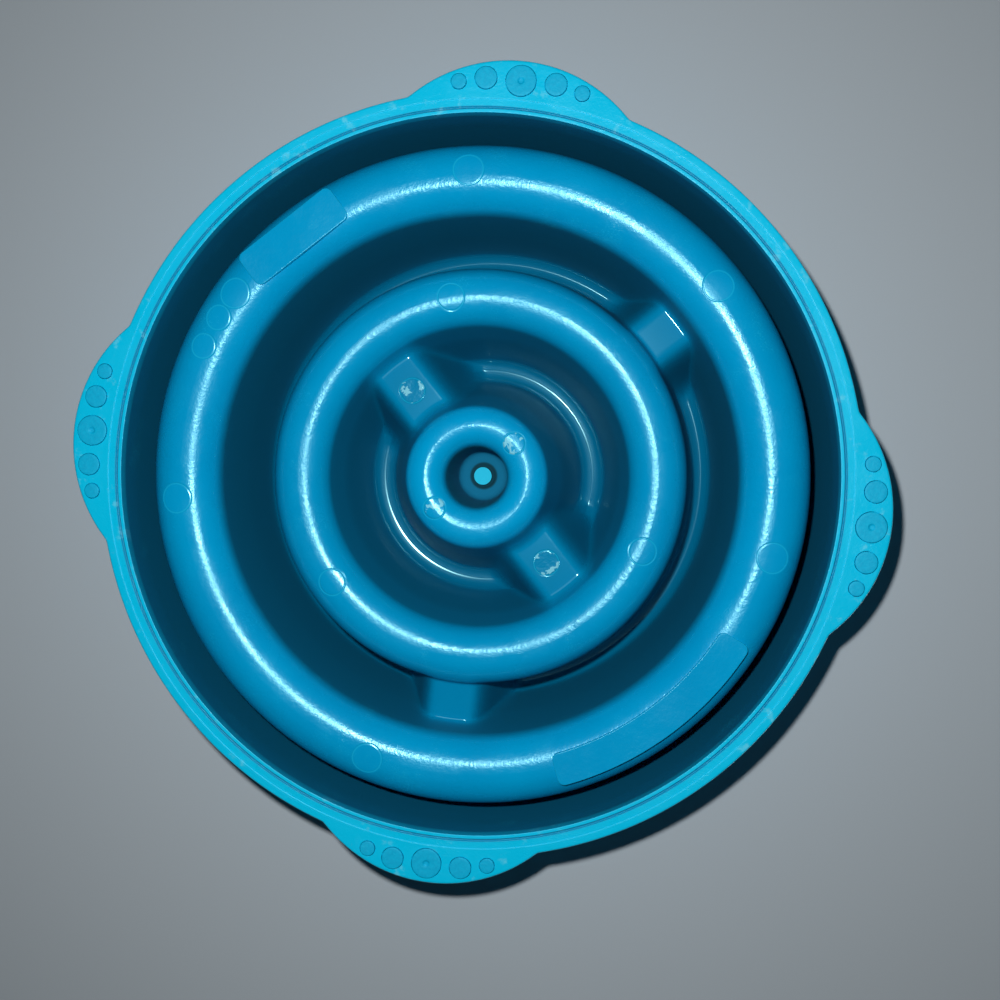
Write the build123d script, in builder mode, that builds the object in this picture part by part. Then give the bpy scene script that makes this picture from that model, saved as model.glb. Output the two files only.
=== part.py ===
"""Slow feeder bowl: a moulded shell with ring-shaped food channels, standing on soft grip plugs.

Frame: the bowl stands upright, +Z up, feeding side up, with its axis on Z and the floor at z = 0.
Azimuths are measured from +X towards +Y. All lengths are in millimetres and all angles in degrees.
"""

import math
import os
from dataclasses import dataclass

from build123d import *

# Overall sizes
bowl_height = 70.0
wall = 2.5

# Levels of the underside: above the floor, above the outer channel, or below the crest before
plug_proud = 0.5
outer_channel_underside = 4.0
middle_channel_rise = 8.0
centre_channel_rise = 4.0
ridge_drop = 3.0
post_drop = 21.5

# Plan of the underside from the axis outward: floors, crests, and the run of each sloping wall between them
post_radius = 9.4
post_corner_radius = 2.5
post_wall_run = 2.0
centre_channel_width = 13.2
inner_ridge_inner_run = 13.1
inner_ridge_width = 8.0
inner_ridge_outer_run = 10.6
middle_channel_width = 18.6
outer_ridge_inner_run = 6.0
outer_ridge_width = 6.8
outer_ridge_outer_run = 6.8
outer_channel_width = 24.0
rim_wall_run = 2.1
rim_hollow_width = 4.2
skirt_run = 1.9

# Flats left in the middle of the rounded floors and crests
channel_flat = 0.6
ridge_flat = 0.4

# Notches that let food pass through the ridges, on the feeding side
notch_sill = 20.0
notch_floor_half_width = 8.0
notch_side_angle = 15.0
notch_corner_radius = 4.0
outer_notch_azimuths = (90.0, 315.0)
inner_notch_azimuths = (45.0, 225.0)

# Foot flange with its tabs
flange_width = 7.7
flange_thickness = 3.4
flange_edge_radius = 0.8
flange_cove_radius = 3.0
tab_projection = 10.6
tab_lobe_radius = 54.0
tab_junction_radius = 3.0
tab_azimuths = {"right": 0.0, "back": 90.0, "left": 180.0, "front": 270.0}

# Shallow relief on the flange's underside, beside the skirt
lip_width = 4.7
lip_depth = 0.3
lip_groove_offset = 1.7
lip_groove_width = 1.0
lip_groove_depth = 0.5

# Bare raised panels under the outer channel
panel_proud = 0.6
panel_offset = 0.3
panel_corner_radius = 2.5
straight_panel_width = 13.6
straight_panel_length = 41.0
straight_panel_azimuth = 226.0
curved_panel_width = 11.8
curved_panel_arc = 43.0
curved_panel_azimuth = 46.0

# Moulding gate inside the post
gate_collar_radius = 4.4
gate_collar_height = 1.2
gate_stub_radius = 3.4
gate_stub_height = 4.0

# Grip plugs, moulded through the tabs in stepped holes
large_plug_radius = 5.45
medium_plug_radius = 4.0
small_plug_radius = 2.8
plug_edge_margin = 1.6
plug_web = 2.75
plug_head_depth = 1.2
plug_neck_step = 1.1
plug_top_depth = 0.9
plug_top_proud = 0.3
plug_top_step = 0.4
plug_edge_radius = 0.25
plug_gap = 0.05
gate_dimple_radius = 1.3
gate_dimple_depth = 0.5


@dataclass(frozen=True)
class PlugKind:
    """One size of grip plug, in the order from the middle of a tab to its sides."""

    name: str
    face_radius: float
    has_gate_dimple: bool


plug_kinds = (
    PlugKind("large", large_plug_radius, True),
    PlugKind("medium", medium_plug_radius, False),
    PlugKind("small", small_plug_radius, False),
)

# Radii that follow from the plan, from the axis outward
centre_channel_inner = post_radius + post_wall_run
centre_channel_outer = centre_channel_inner + centre_channel_width
inner_ridge_inner = centre_channel_outer + inner_ridge_inner_run
inner_ridge_outer = inner_ridge_inner + inner_ridge_width
middle_channel_inner = inner_ridge_outer + inner_ridge_outer_run
middle_channel_outer = middle_channel_inner + middle_channel_width
outer_ridge_inner = middle_channel_outer + outer_ridge_inner_run
outer_ridge_outer = outer_ridge_inner + outer_ridge_width
outer_channel_inner = outer_ridge_outer + outer_ridge_outer_run
outer_channel_outer = outer_channel_inner + outer_channel_width
rim_hollow_inner = outer_channel_outer + rim_wall_run
rim_hollow_outer = rim_hollow_inner + rim_hollow_width
skirt_foot_radius = rim_hollow_outer + skirt_run
flange_radius = skirt_foot_radius + flange_width
tab_reach = flange_radius + tab_projection
lobe_centre = tab_reach - tab_lobe_radius
lip_groove_middle = skirt_foot_radius + lip_groove_offset
centre_channel_middle = (centre_channel_inner + centre_channel_outer) / 2
middle_channel_middle = (middle_channel_inner + middle_channel_outer) / 2
outer_channel_middle = (outer_channel_inner + outer_channel_outer) / 2
panel_middle_radius = outer_channel_middle + panel_offset
panel_outer_radius = panel_middle_radius + straight_panel_width / 2
curved_panel_inner_radius = panel_outer_radius - curved_panel_width

# Levels that follow from the heights
tab_face = plug_proud
tab_top = tab_face + flange_thickness
rim_underside = bowl_height - wall
ridge_underside = rim_underside - ridge_drop
post_underside = ridge_underside - post_drop
middle_channel_underside = outer_channel_underside + middle_channel_rise
centre_channel_underside = outer_channel_underside + centre_channel_rise
notch_floor = outer_channel_underside + wall + notch_sill
panel_face = outer_channel_underside - panel_proud
skirt_lean = skirt_run / (rim_underside - tab_face)
on_base = (Align.CENTER, Align.CENTER, Align.MIN)


def polar_point(radius, azimuth):
    """Point at a radius and an azimuth about the bowl's axis."""
    return (radius * math.cos(math.radians(azimuth)), radius * math.sin(math.radians(azimuth)))


def skirt_outer_radius(height):
    """Radius of the skirt's outer face at a height above the floor."""
    return skirt_foot_radius + wall * math.hypot(1, skirt_lean) - skirt_lean * (height - tab_face)


def radial_plane(azimuth, radius):
    """Plane that faces outward along an azimuth, with its y direction up."""
    outward = Vector(1, 0, 0).rotate(Axis.Z, azimuth)
    sideways = Vector(0, 1, 0).rotate(Axis.Z, azimuth)
    return Plane(origin=outward * radius, x_dir=sideways, z_dir=outward)


def full_round_radius(corners, first, flat):
    """Fillet radius that rounds two neighbouring corners and leaves only a narrow flat between them."""
    before, start, end, after = (Vector(*point) for point in corners[first - 1 : first + 3])
    turn_at_start = (start - before).get_angle(end - start)
    turn_at_end = (end - start).get_angle(after - end)
    tangent_sum = math.tan(math.radians(turn_at_start / 2)) + math.tan(math.radians(turn_at_end / 2))
    return ((end - start).length - flat) / tangent_sum


# Underside line of the shell as corners from the axis outward, floor and crest by turns
under_corners = [
    (0, post_underside),
    (post_radius, post_underside),
    (centre_channel_inner, centre_channel_underside),
    (centre_channel_outer, centre_channel_underside),
    (inner_ridge_inner, ridge_underside),
    (inner_ridge_outer, ridge_underside),
    (middle_channel_inner, middle_channel_underside),
    (middle_channel_outer, middle_channel_underside),
    (outer_ridge_inner, ridge_underside),
    (outer_ridge_outer, ridge_underside),
    (outer_channel_inner, outer_channel_underside),
    (outer_channel_outer, outer_channel_underside),
    (rim_hollow_inner, rim_underside),
    (rim_hollow_outer, rim_underside),
    (skirt_foot_radius, tab_face),
]
under_radii = [post_corner_radius]
for first_corner, flat in (
    (2, channel_flat),
    (4, ridge_flat),
    (6, channel_flat),
    (8, ridge_flat),
    (10, channel_flat),
    (12, ridge_flat),
):
    under_radii += [full_round_radius(under_corners, first_corner, flat)] * 2

# Cross-section of the space below the shell
with BuildSketch(Plane.XZ) as hollow_section:
    with BuildLine():
        FilletPolyline(*under_corners, radius=under_radii)
        Polyline((skirt_foot_radius, tab_face), (0, tab_face), (0, post_underside))
    make_face()

# The same cross-section grown by the wall, which gives the feeding side
with BuildSketch(Plane.XZ) as filled_section:
    add(hollow_section.sketch_local)
    offset(amount=wall)
    with Locations((0, tab_face)):
        Rectangle(tab_reach, bowl_height, align=(Align.MIN, Align.MIN), mode=Mode.INTERSECT)


def notch_bodies(grow):
    """Cutters for all notches, grown by a distance for the underside of the notch floors."""
    outer_span = (middle_channel_middle, outer_channel_middle)
    inner_span = (centre_channel_middle, middle_channel_middle)
    places = [(azimuth, outer_span) for azimuth in outer_notch_azimuths]
    places += [(azimuth, inner_span) for azimuth in inner_notch_azimuths]
    side_rise = bowl_height - notch_floor
    top_half_width = notch_floor_half_width + side_rise * math.tan(math.radians(notch_side_angle))
    with BuildPart() as bodies:
        for azimuth, (start, end) in places:
            with BuildSketch(radial_plane(azimuth, start)) as outline:
                with BuildLine():
                    FilletPolyline(
                        (-top_half_width, bowl_height),
                        (-notch_floor_half_width, notch_floor),
                        (notch_floor_half_width, notch_floor),
                        (top_half_width, bowl_height),
                        radius=notch_corner_radius,
                    )
                    Line((top_half_width, bowl_height), (-top_half_width, bowl_height))
                make_face()
                if grow:
                    offset(amount=grow)
            extrude(amount=end - start)
    return bodies.part


# Space below the shell, kept clear of the notch floors, the panels and the moulding gate
with BuildPart() as hollow:
    add(hollow_section.sketch)
    revolve(axis=Axis.Z)
    add(notch_bodies(wall), mode=Mode.SUBTRACT)
    with BuildSketch(Plane.XY.offset(panel_face)) as panel_outlines:
        with PolarLocations(panel_middle_radius, 1, start_angle=straight_panel_azimuth):
            Rectangle(straight_panel_width, straight_panel_length)
        with BuildLine():
            curved_panel_start = curved_panel_azimuth - curved_panel_arc / 2
            inner_arc = CenterArc((0, 0), curved_panel_inner_radius, curved_panel_start, curved_panel_arc)
            outer_arc = CenterArc((0, 0), panel_outer_radius, curved_panel_start, curved_panel_arc)
            Line(inner_arc @ 0, outer_arc @ 0)
            Line(inner_arc @ 1, outer_arc @ 1)
        make_face()
        fillet(panel_outlines.vertices(), panel_corner_radius)
    extrude(amount=ridge_underside - panel_face, mode=Mode.SUBTRACT)
    with Locations((0, 0, post_underside - gate_collar_height)):
        Cylinder(gate_collar_radius, gate_collar_height, align=on_base, mode=Mode.SUBTRACT)
    with Locations((0, 0, post_underside - gate_stub_height)):
        Cylinder(gate_stub_radius, gate_stub_height, align=on_base, mode=Mode.SUBTRACT)


def plug_reach(kind):
    """Distance of a plug from the lobe's centre, with the same margin to the tab's edge for every plug."""
    return tab_lobe_radius - plug_edge_margin - kind.face_radius


# Angle of each plug about the lobe's centre, stepping out from the middle plug with an even web between plugs
lobe_angles = [0.0]
for kind, next_kind in zip(plug_kinds, plug_kinds[1:]):
    reach, next_reach = plug_reach(kind), plug_reach(next_kind)
    spacing = kind.face_radius + plug_web + next_kind.face_radius
    step_cosine = (reach**2 + next_reach**2 - spacing**2) / (2 * reach * next_reach)
    lobe_angles.append(lobe_angles[-1] + math.degrees(math.acos(step_cosine)))

# Name, kind and centre of each plug's face
plug_places = []
for tab_name, tab_azimuth in tab_azimuths.items():
    for kind, lobe_angle in zip(plug_kinds, lobe_angles):
        sides = {"": 0.0} if lobe_angle == 0 else {"_a": -lobe_angle, "_b": lobe_angle}
        for side, side_angle in sides.items():
            along, across = polar_point(plug_reach(kind), side_angle)
            centre = Vector(lobe_centre + along, across, 0).rotate(Axis.Z, tab_azimuth)
            plug_places.append((f"{tab_name}_{kind.name}_grip_plug{side}", kind, centre))

# Stepped hole for each plug, open to both faces of the flange
with BuildPart() as plug_holes:
    for kind in plug_kinds:
        centres = [centre for plug_name, plug_kind, centre in plug_places if plug_kind is kind]
        with Locations(*[centre + Vector(0, 0, tab_face) for centre in centres]):
            Cylinder(kind.face_radius + plug_gap, plug_head_depth, align=on_base)
            Cylinder(kind.face_radius - plug_neck_step + plug_gap, flange_thickness, align=on_base)
        with Locations(*[centre + Vector(0, 0, tab_top - plug_top_depth) for centre in centres]):
            top_hole_depth = plug_top_depth + flange_cove_radius
            Cylinder(kind.face_radius - plug_top_step + plug_gap, top_hole_depth, align=on_base)

# Foot flange with four tabs
with BuildPart() as foot_flange:
    with BuildSketch(Plane.XY.offset(tab_face)) as flange_outline:
        Circle(flange_radius)
        with PolarLocations(lobe_centre, len(tab_azimuths)):
            Circle(tab_lobe_radius)
        fillet(flange_outline.vertices(), tab_junction_radius)
        Circle(skirt_foot_radius, mode=Mode.SUBTRACT)
    extrude(amount=flange_thickness)
    for flat_face in foot_flange.faces().filter_by(Axis.Z):
        fillet(flat_face.outer_wire().edges(), flange_edge_radius)

with BuildPart() as bowl_shell:
    add(filled_section.sketch)
    revolve(axis=Axis.Z)
    add(notch_bodies(0), mode=Mode.SUBTRACT)
    add(hollow.part, mode=Mode.SUBTRACT)
    add(foot_flange.part)
    # Cove where the skirt meets the flange's top
    with BuildSketch(Plane.XZ):
        with BuildLine():
            cove_foot = (skirt_outer_radius(tab_top) + flange_cove_radius, tab_top)
            cove_head = (skirt_outer_radius(tab_top + flange_cove_radius), tab_top + flange_cove_radius)
            RadiusArc(cove_foot, cove_head, -flange_cove_radius)
            Polyline(cove_head, (skirt_foot_radius + wall / 2, tab_top), cove_foot)
        make_face()
    revolve(axis=Axis.Z)
    # Shallow step and groove beside the skirt
    with BuildSketch(Plane.XZ):
        with Locations((skirt_foot_radius - lip_width, tab_face)):
            Rectangle(2 * lip_width, lip_depth, align=(Align.MIN, Align.MIN))
        with BuildLine():
            Polyline(
                (lip_groove_middle - lip_groove_width / 2, tab_face),
                (lip_groove_middle, tab_face + lip_depth + lip_groove_depth),
                (lip_groove_middle + lip_groove_width / 2, tab_face),
                close=True,
            )
        make_face()
    revolve(axis=Axis.Z, mode=Mode.SUBTRACT)
    add(plug_holes.part, mode=Mode.SUBTRACT)

os.makedirs("parts", exist_ok=True)

bowl_shell.part.label = "bowl_shell"
export_step(bowl_shell.part, "parts/bowl_shell.step")

for plug_name, kind, centre in plug_places:
    seat = Plane(origin=centre)
    head_height = plug_proud + plug_head_depth
    neck_length = flange_thickness - plug_head_depth - plug_top_depth
    with BuildPart(seat) as grip_plug:
        Cylinder(kind.face_radius, head_height, align=on_base)
        with Locations((0, 0, head_height)):
            Cylinder(kind.face_radius - plug_neck_step, neck_length, align=on_base)
        with Locations((0, 0, head_height + neck_length)):
            Cylinder(kind.face_radius - plug_top_step, plug_top_depth + plug_top_proud, align=on_base)
        rims = grip_plug.edges().filter_by(GeomType.CIRCLE).group_by(Axis.Z)
        fillet(rims[0] + rims[-1], plug_edge_radius)
        if kind.has_gate_dimple:
            Cone(
                gate_dimple_radius,
                gate_dimple_radius / 2,
                gate_dimple_depth,
                align=on_base,
                mode=Mode.SUBTRACT,
            )
    grip_plug.part.label = plug_name
    export_step(grip_plug.part, f"parts/{plug_name}.step")
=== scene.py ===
"""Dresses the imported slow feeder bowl: its moulded shell, its grip plugs, and the stage, lights and camera.

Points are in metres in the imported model's frame: the bowl stands upright, its axis is Z and the floor is at
zero. Sizes are named in millimetres, as in the solid model, and azimuths run from +X towards +Y in degrees.
"""

import logging
import math
from dataclasses import dataclass, field
from enum import Enum
from itertools import cycle

import bmesh
import bpy
import numpy as np
from mathutils import Matrix, Vector
from mathutils.geometry import delaunay_2d_cdt


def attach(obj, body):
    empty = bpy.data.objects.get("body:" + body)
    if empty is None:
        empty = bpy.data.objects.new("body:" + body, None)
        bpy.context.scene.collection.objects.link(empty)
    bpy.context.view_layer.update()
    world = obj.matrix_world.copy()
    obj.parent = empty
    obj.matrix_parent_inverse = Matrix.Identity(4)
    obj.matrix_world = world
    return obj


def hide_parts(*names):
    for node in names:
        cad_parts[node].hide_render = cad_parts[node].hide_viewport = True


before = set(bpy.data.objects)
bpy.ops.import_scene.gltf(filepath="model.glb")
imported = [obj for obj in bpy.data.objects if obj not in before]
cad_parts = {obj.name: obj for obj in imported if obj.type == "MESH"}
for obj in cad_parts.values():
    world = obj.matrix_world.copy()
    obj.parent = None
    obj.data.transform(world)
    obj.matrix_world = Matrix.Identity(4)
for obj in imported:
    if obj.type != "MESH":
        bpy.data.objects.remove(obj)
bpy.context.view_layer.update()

LOG = logging.getLogger("slow_feeder_bowl")
MM = 0.001
WELD_DISTANCE = 0.000002
POLE_LENGTH = 1e-9
OUTLINE_TOLERANCE = 1e-5
LEVEL_NAMES = ("wear", "underside", "steep")
# Numbers of a mix node's two inputs and of its output, by data type.
MIX_SOCKETS = {"FLOAT": (2, 3, 0), "VECTOR": (4, 5, 1), "RGBA": (6, 7, 2)}
STRAIGHT_DOWN = (0.0, 0.0, -1.0)

Array = np.ndarray
Socket = bpy.types.NodeSocket
Input = Socket | float | tuple[float, ...]
Colour = tuple[float, float, float]


class Tab(Enum):
    """The foot's four tabs and their azimuths."""

    RIGHT = 0.0
    BACK = 90.0
    LEFT = 180.0
    FRONT = 270.0


class PlugKind(Enum):
    """The three sizes of grip plug, from the middle of a tab to its sides, with their face radii."""

    LARGE = 5.45
    MEDIUM = 4.0
    SMALL = 2.8


class Mark(Enum):
    """How a round moulding mark meets the surface."""

    FLAT = "flat face across the curve"
    CONTOURED = "follows the curve, a little flattened"
    TORN = "follows the curve, roughened where the pin let go"


def smooth_min(first: Array, second: Array, blend: float) -> Array:
    """Returns the lower of two heights, with their crossing rounded over a blend width."""
    share = np.clip(0.5 + (second - first) / (2 * blend), 0.0, 1.0)
    return second + (first - second) * share - blend * share * (1 - share)


def smooth_max(first: Array, second: Array, blend: float) -> Array:
    """Returns the higher of two heights, with their crossing rounded over a blend width."""
    return -smooth_min(-np.asarray(first), -np.asarray(second), blend)


def quarter_circle(radius: float, rows: int) -> tuple[Array, Array]:
    """Returns the insets and the rises of a rounded edge's rows, from its face to its side."""
    swing = np.linspace(0, math.pi / 2, rows)
    return radius * (1 - np.sin(swing)), radius * (1 - np.cos(swing))


def unit(vectors: Array) -> Array:
    """Returns vectors, one row each, at a length of 1."""
    return vectors / np.linalg.norm(vectors, axis=1)[:, None]


def right_normals(outline: Array) -> Array:
    """Returns a closed outline's normals to the right, square to the step between a point's neighbours."""
    along = np.roll(outline, -1, axis=0) - np.roll(outline, 1, axis=0)
    return unit(np.column_stack((along[:, 1], -along[:, 0])))


def rounded_line(corners: Array, radii: Array, run_step: float, arc_step: float) -> tuple[Array, Array]:
    """Samples a line of straight runs joined by tangent arcs.

    Formula: an arc starts and ends at radius times the tangent of half the turn from its corner, its centre
    is one radius to the side of the run, and the normal is the line's direction turned left by a right angle.

    Args:
        corners: Corner points, one row each, ends included.
        radii: Arc radius at each inner corner.
        run_step: Longest step along a straight run.
        arc_step: Longest step along an arc.

    Returns:
        The points and the left-hand normals, one row each.
    """
    steps = np.diff(corners, axis=0)
    along = unit(steps)
    left = np.stack((-along[:, 1], along[:, 0]), axis=1)
    crossed = along[:-1, 0] * along[1:, 1] - along[:-1, 1] * along[1:, 0]
    turns = np.arctan2(crossed, np.sum(along[:-1] * along[1:], axis=1))
    reach = (radii * np.tan(np.abs(turns) / 2))[:, None]
    starts = np.vstack((corners[:1], corners[1:-1] + along[1:] * reach))
    ends = np.vstack((corners[1:-1] - along[:-1] * reach, corners[-1:]))
    points: list[Array] = []
    normals: list[Array] = []
    for run, (start, end) in enumerate(zip(starts, ends)):
        count = 1 + max(1, math.ceil(np.linalg.norm(end - start) / run_step))
        points.append(start + np.linspace(0, 1, count)[:, None] * (end - start))
        normals.append(np.tile(left[run], (count, 1)))
        if run < len(turns):
            side = np.sign(turns[run]) * radii[run]
            count = 1 + max(2, math.ceil(abs(turns[run]) * radii[run] / arc_step))
            swing = np.linspace(0, turns[run], count)[1:-1]
            turned = np.stack(
                (
                    left[run, 0] * np.cos(swing) - left[run, 1] * np.sin(swing),
                    left[run, 0] * np.sin(swing) + left[run, 1] * np.cos(swing),
                ),
                axis=1,
            )
            points.append(end + side * (left[run] - turned))
            normals.append(turned)
    return np.vstack(points), np.vstack(normals)


def turned_surface(radius: Array, height: Array, azimuths: Array) -> Array:
    """Turns a profile about the axis: x and y are the radius times the azimuth's cosine and sine.

    Args:
        radius: Profile radii, one per row, or one per row and column.
        height: Profile heights, shaped like the radii.
        azimuths: Column azimuths in radians.

    Returns:
        Grid of points, rows by columns by three.
    """
    shape = (len(radius), len(azimuths))
    wide_radius = np.broadcast_to(radius.reshape(len(radius), -1), shape)
    wide_height = np.broadcast_to(height.reshape(len(height), -1), shape)
    return np.stack((wide_radius * np.cos(azimuths), wide_radius * np.sin(azimuths), wide_height), axis=-1)


def full_turn(count: int) -> Array:
    """Returns evenly spaced azimuths in radians around a full turn."""
    return np.linspace(0, 2 * math.pi, count, endpoint=False)


def steepness(grid: Array) -> Array:
    """Returns how far a surface with closed columns faces sideways, from 0 for level to 1 for upright.

    Formula: one less the upright share of the normal, which is the step along the rows crossed with the
    step along the columns. Points where the rows meet in a pole count as level.

    Args:
        grid: Points, rows by columns by three.

    Returns:
        A value for each point.
    """
    along_rows = np.gradient(grid, axis=0)
    along_columns = np.roll(grid, -1, axis=1) - np.roll(grid, 1, axis=1)
    normal = np.cross(along_rows, along_columns)
    length = np.linalg.norm(normal, axis=2)
    at_pole = length < POLE_LENGTH
    return np.where(at_pole, 0.0, 1 - np.abs(normal[..., 2]) / np.where(at_pole, 1.0, length))


@dataclass
class Draft:
    """Surfaces gathered for one mesh, in millimetres, with wear, underside and steep levels of the points."""

    points: list[Array] = field(default_factory=list)
    levels: list[Array] = field(default_factory=list)
    corners: list[Array] = field(default_factory=list)
    starts: list[Array] = field(default_factory=list)
    smooth: list[Array] = field(default_factory=list)
    point_count: int = 0
    corner_count: int = 0

    def _add(self, points: Array, faces: Array, levels: tuple[Array | float, ...], smooth: bool) -> None:
        """Adds points and faces.

        Args:
            points: Points, one row each.
            faces: Point numbers of each face, one row each.
            levels: The points' levels, each for all points or for each.
            smooth: Whether the faces are shaded smooth.
        """
        columns = [np.broadcast_to(np.asarray(level).reshape(-1), len(points)) for level in levels]
        self.points.append(points)
        self.levels.append(np.column_stack(columns))
        self.corners.append((faces + self.point_count).reshape(-1))
        self.starts.append(self.corner_count + np.arange(len(faces)) * faces.shape[1])
        self.smooth.append(np.full(len(faces), smooth))
        self.point_count += len(points)
        self.corner_count += faces.size

    def add_grid(self, grid: Array, flip: bool, wear: Array | float = 0.0, under: float = 0.0) -> None:
        """Adds a surface whose columns close on themselves.

        Args:
            grid: Points, rows by columns by three.
            flip: Whether the faces point against rows crossed with columns.
            wear: Wear level, for all points or for each.
            under: 1 on the underside and 0 elsewhere.
        """
        rows, columns = grid.shape[:2]
        index = np.arange(rows * columns).reshape(rows, columns)
        index = np.concatenate((index, index[:, :1]), axis=1)
        corners = (index[:-1, :-1], index[1:, :-1], index[1:, 1:], index[:-1, 1:])
        quads = np.stack(corners, axis=-1).reshape(-1, len(corners))
        if flip:
            quads = quads[:, ::-1]
        self._add(grid.reshape(-1, 3), quads, (wear, under, steepness(grid)), True)

    def add_flat(
        self, loops: list[Array], height: float, down: bool, wear: float = 0.0, under: float = 0.0
    ) -> None:
        """Adds a flat face between closed outlines, with every outline inside another left open.

        Formula: a constrained Delaunay triangulation of the outlines' points, where a triangle stays if a
        line from its middle crosses the outlines an odd number of times.

        Args:
            loops: Outlines, each a set of plan points in order.
            height: Height of the face.
            down: Whether the face looks down.
            wear: Wear level of the face.
            under: 1 on the underside and 0 elsewhere.
        """
        plan = np.vstack(loops)
        first = np.cumsum([0] + [len(loop) for loop in loops[:-1]])
        edges = [
            np.stack((np.arange(len(loop)), np.roll(np.arange(len(loop)), -1)), axis=1) + offset
            for loop, offset in zip(loops, first)
        ]
        pairs = np.vstack(edges)
        spots = [Vector(point) for point in plan.tolist()]
        found, _, triangles, *_ = delaunay_2d_cdt(spots, pairs.tolist(), [], 0, OUTLINE_TOLERANCE)
        flat = np.array([tuple(point) for point in found])
        faces = np.array(triangles)
        middle = flat[faces].mean(axis=1)[:, None]
        start, end = plan[pairs[:, 0]][None], plan[pairs[:, 1]][None]
        straddles = (start[..., 1] > middle[..., 1]) != (end[..., 1] > middle[..., 1])
        drop = np.where(straddles, end[..., 1] - start[..., 1], 1.0)
        meets = start[..., 0] + (end[..., 0] - start[..., 0]) * (middle[..., 1] - start[..., 1]) / drop
        faces = faces[np.sum(straddles & (middle[..., 0] < meets), axis=1) % 2 == 1]
        sides = flat[faces]
        first_side, second_side = sides[:, 1] - sides[:, 0], sides[:, 2] - sides[:, 0]
        looks_up = first_side[:, 0] * second_side[:, 1] > first_side[:, 1] * second_side[:, 0]
        faces = np.where((looks_up == down)[:, None], faces[:, ::-1], faces)
        points = np.column_stack((flat, np.full(len(flat), height)))
        self._add(points, faces, (wear, under, 0.0), False)

    def make(self, name: str, sharp_angle: float) -> bpy.types.Object:
        """Makes the mesh object, with touching points merged.

        Args:
            name: Object name.
            sharp_angle: Degrees between faces past which their edge stays sharp.

        Returns:
            The object, linked to the scene, at the origin.
        """
        mesh = bpy.data.meshes.new(name)
        mesh.vertices.add(self.point_count)
        mesh.vertices.foreach_set("co", (np.vstack(self.points) * MM).astype(np.float32).ravel())
        mesh.loops.add(self.corner_count)
        mesh.loops.foreach_set("vertex_index", np.concatenate(self.corners).astype(np.int32))
        starts = np.concatenate(self.starts).astype(np.int32)
        mesh.polygons.add(len(starts))
        mesh.polygons.foreach_set("loop_start", starts)
        mesh.polygons.foreach_set("use_smooth", np.concatenate(self.smooth))
        for column, level_name in enumerate(LEVEL_NAMES):
            level = mesh.attributes.new(level_name, "FLOAT", "POINT")
            level.data.foreach_set("value", np.vstack(self.levels)[:, column].astype(np.float32))
        mesh.update(calc_edges=True)
        welded = bmesh.new()
        welded.from_mesh(mesh)
        bmesh.ops.remove_doubles(welded, verts=welded.verts, dist=WELD_DISTANCE)
        welded.to_mesh(mesh)
        welded.free()
        mesh.validate()
        mesh.set_sharp_from_angle(angle=math.radians(sharp_angle))
        piece = bpy.data.objects.new(name, mesh)
        bpy.context.scene.collection.objects.link(piece)
        return piece


@dataclass(frozen=True)
class Notch:
    """One notch that lets food pass through a ridge: its azimuth and the radii between which it runs."""

    azimuth: float
    start: float
    end: float


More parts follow.
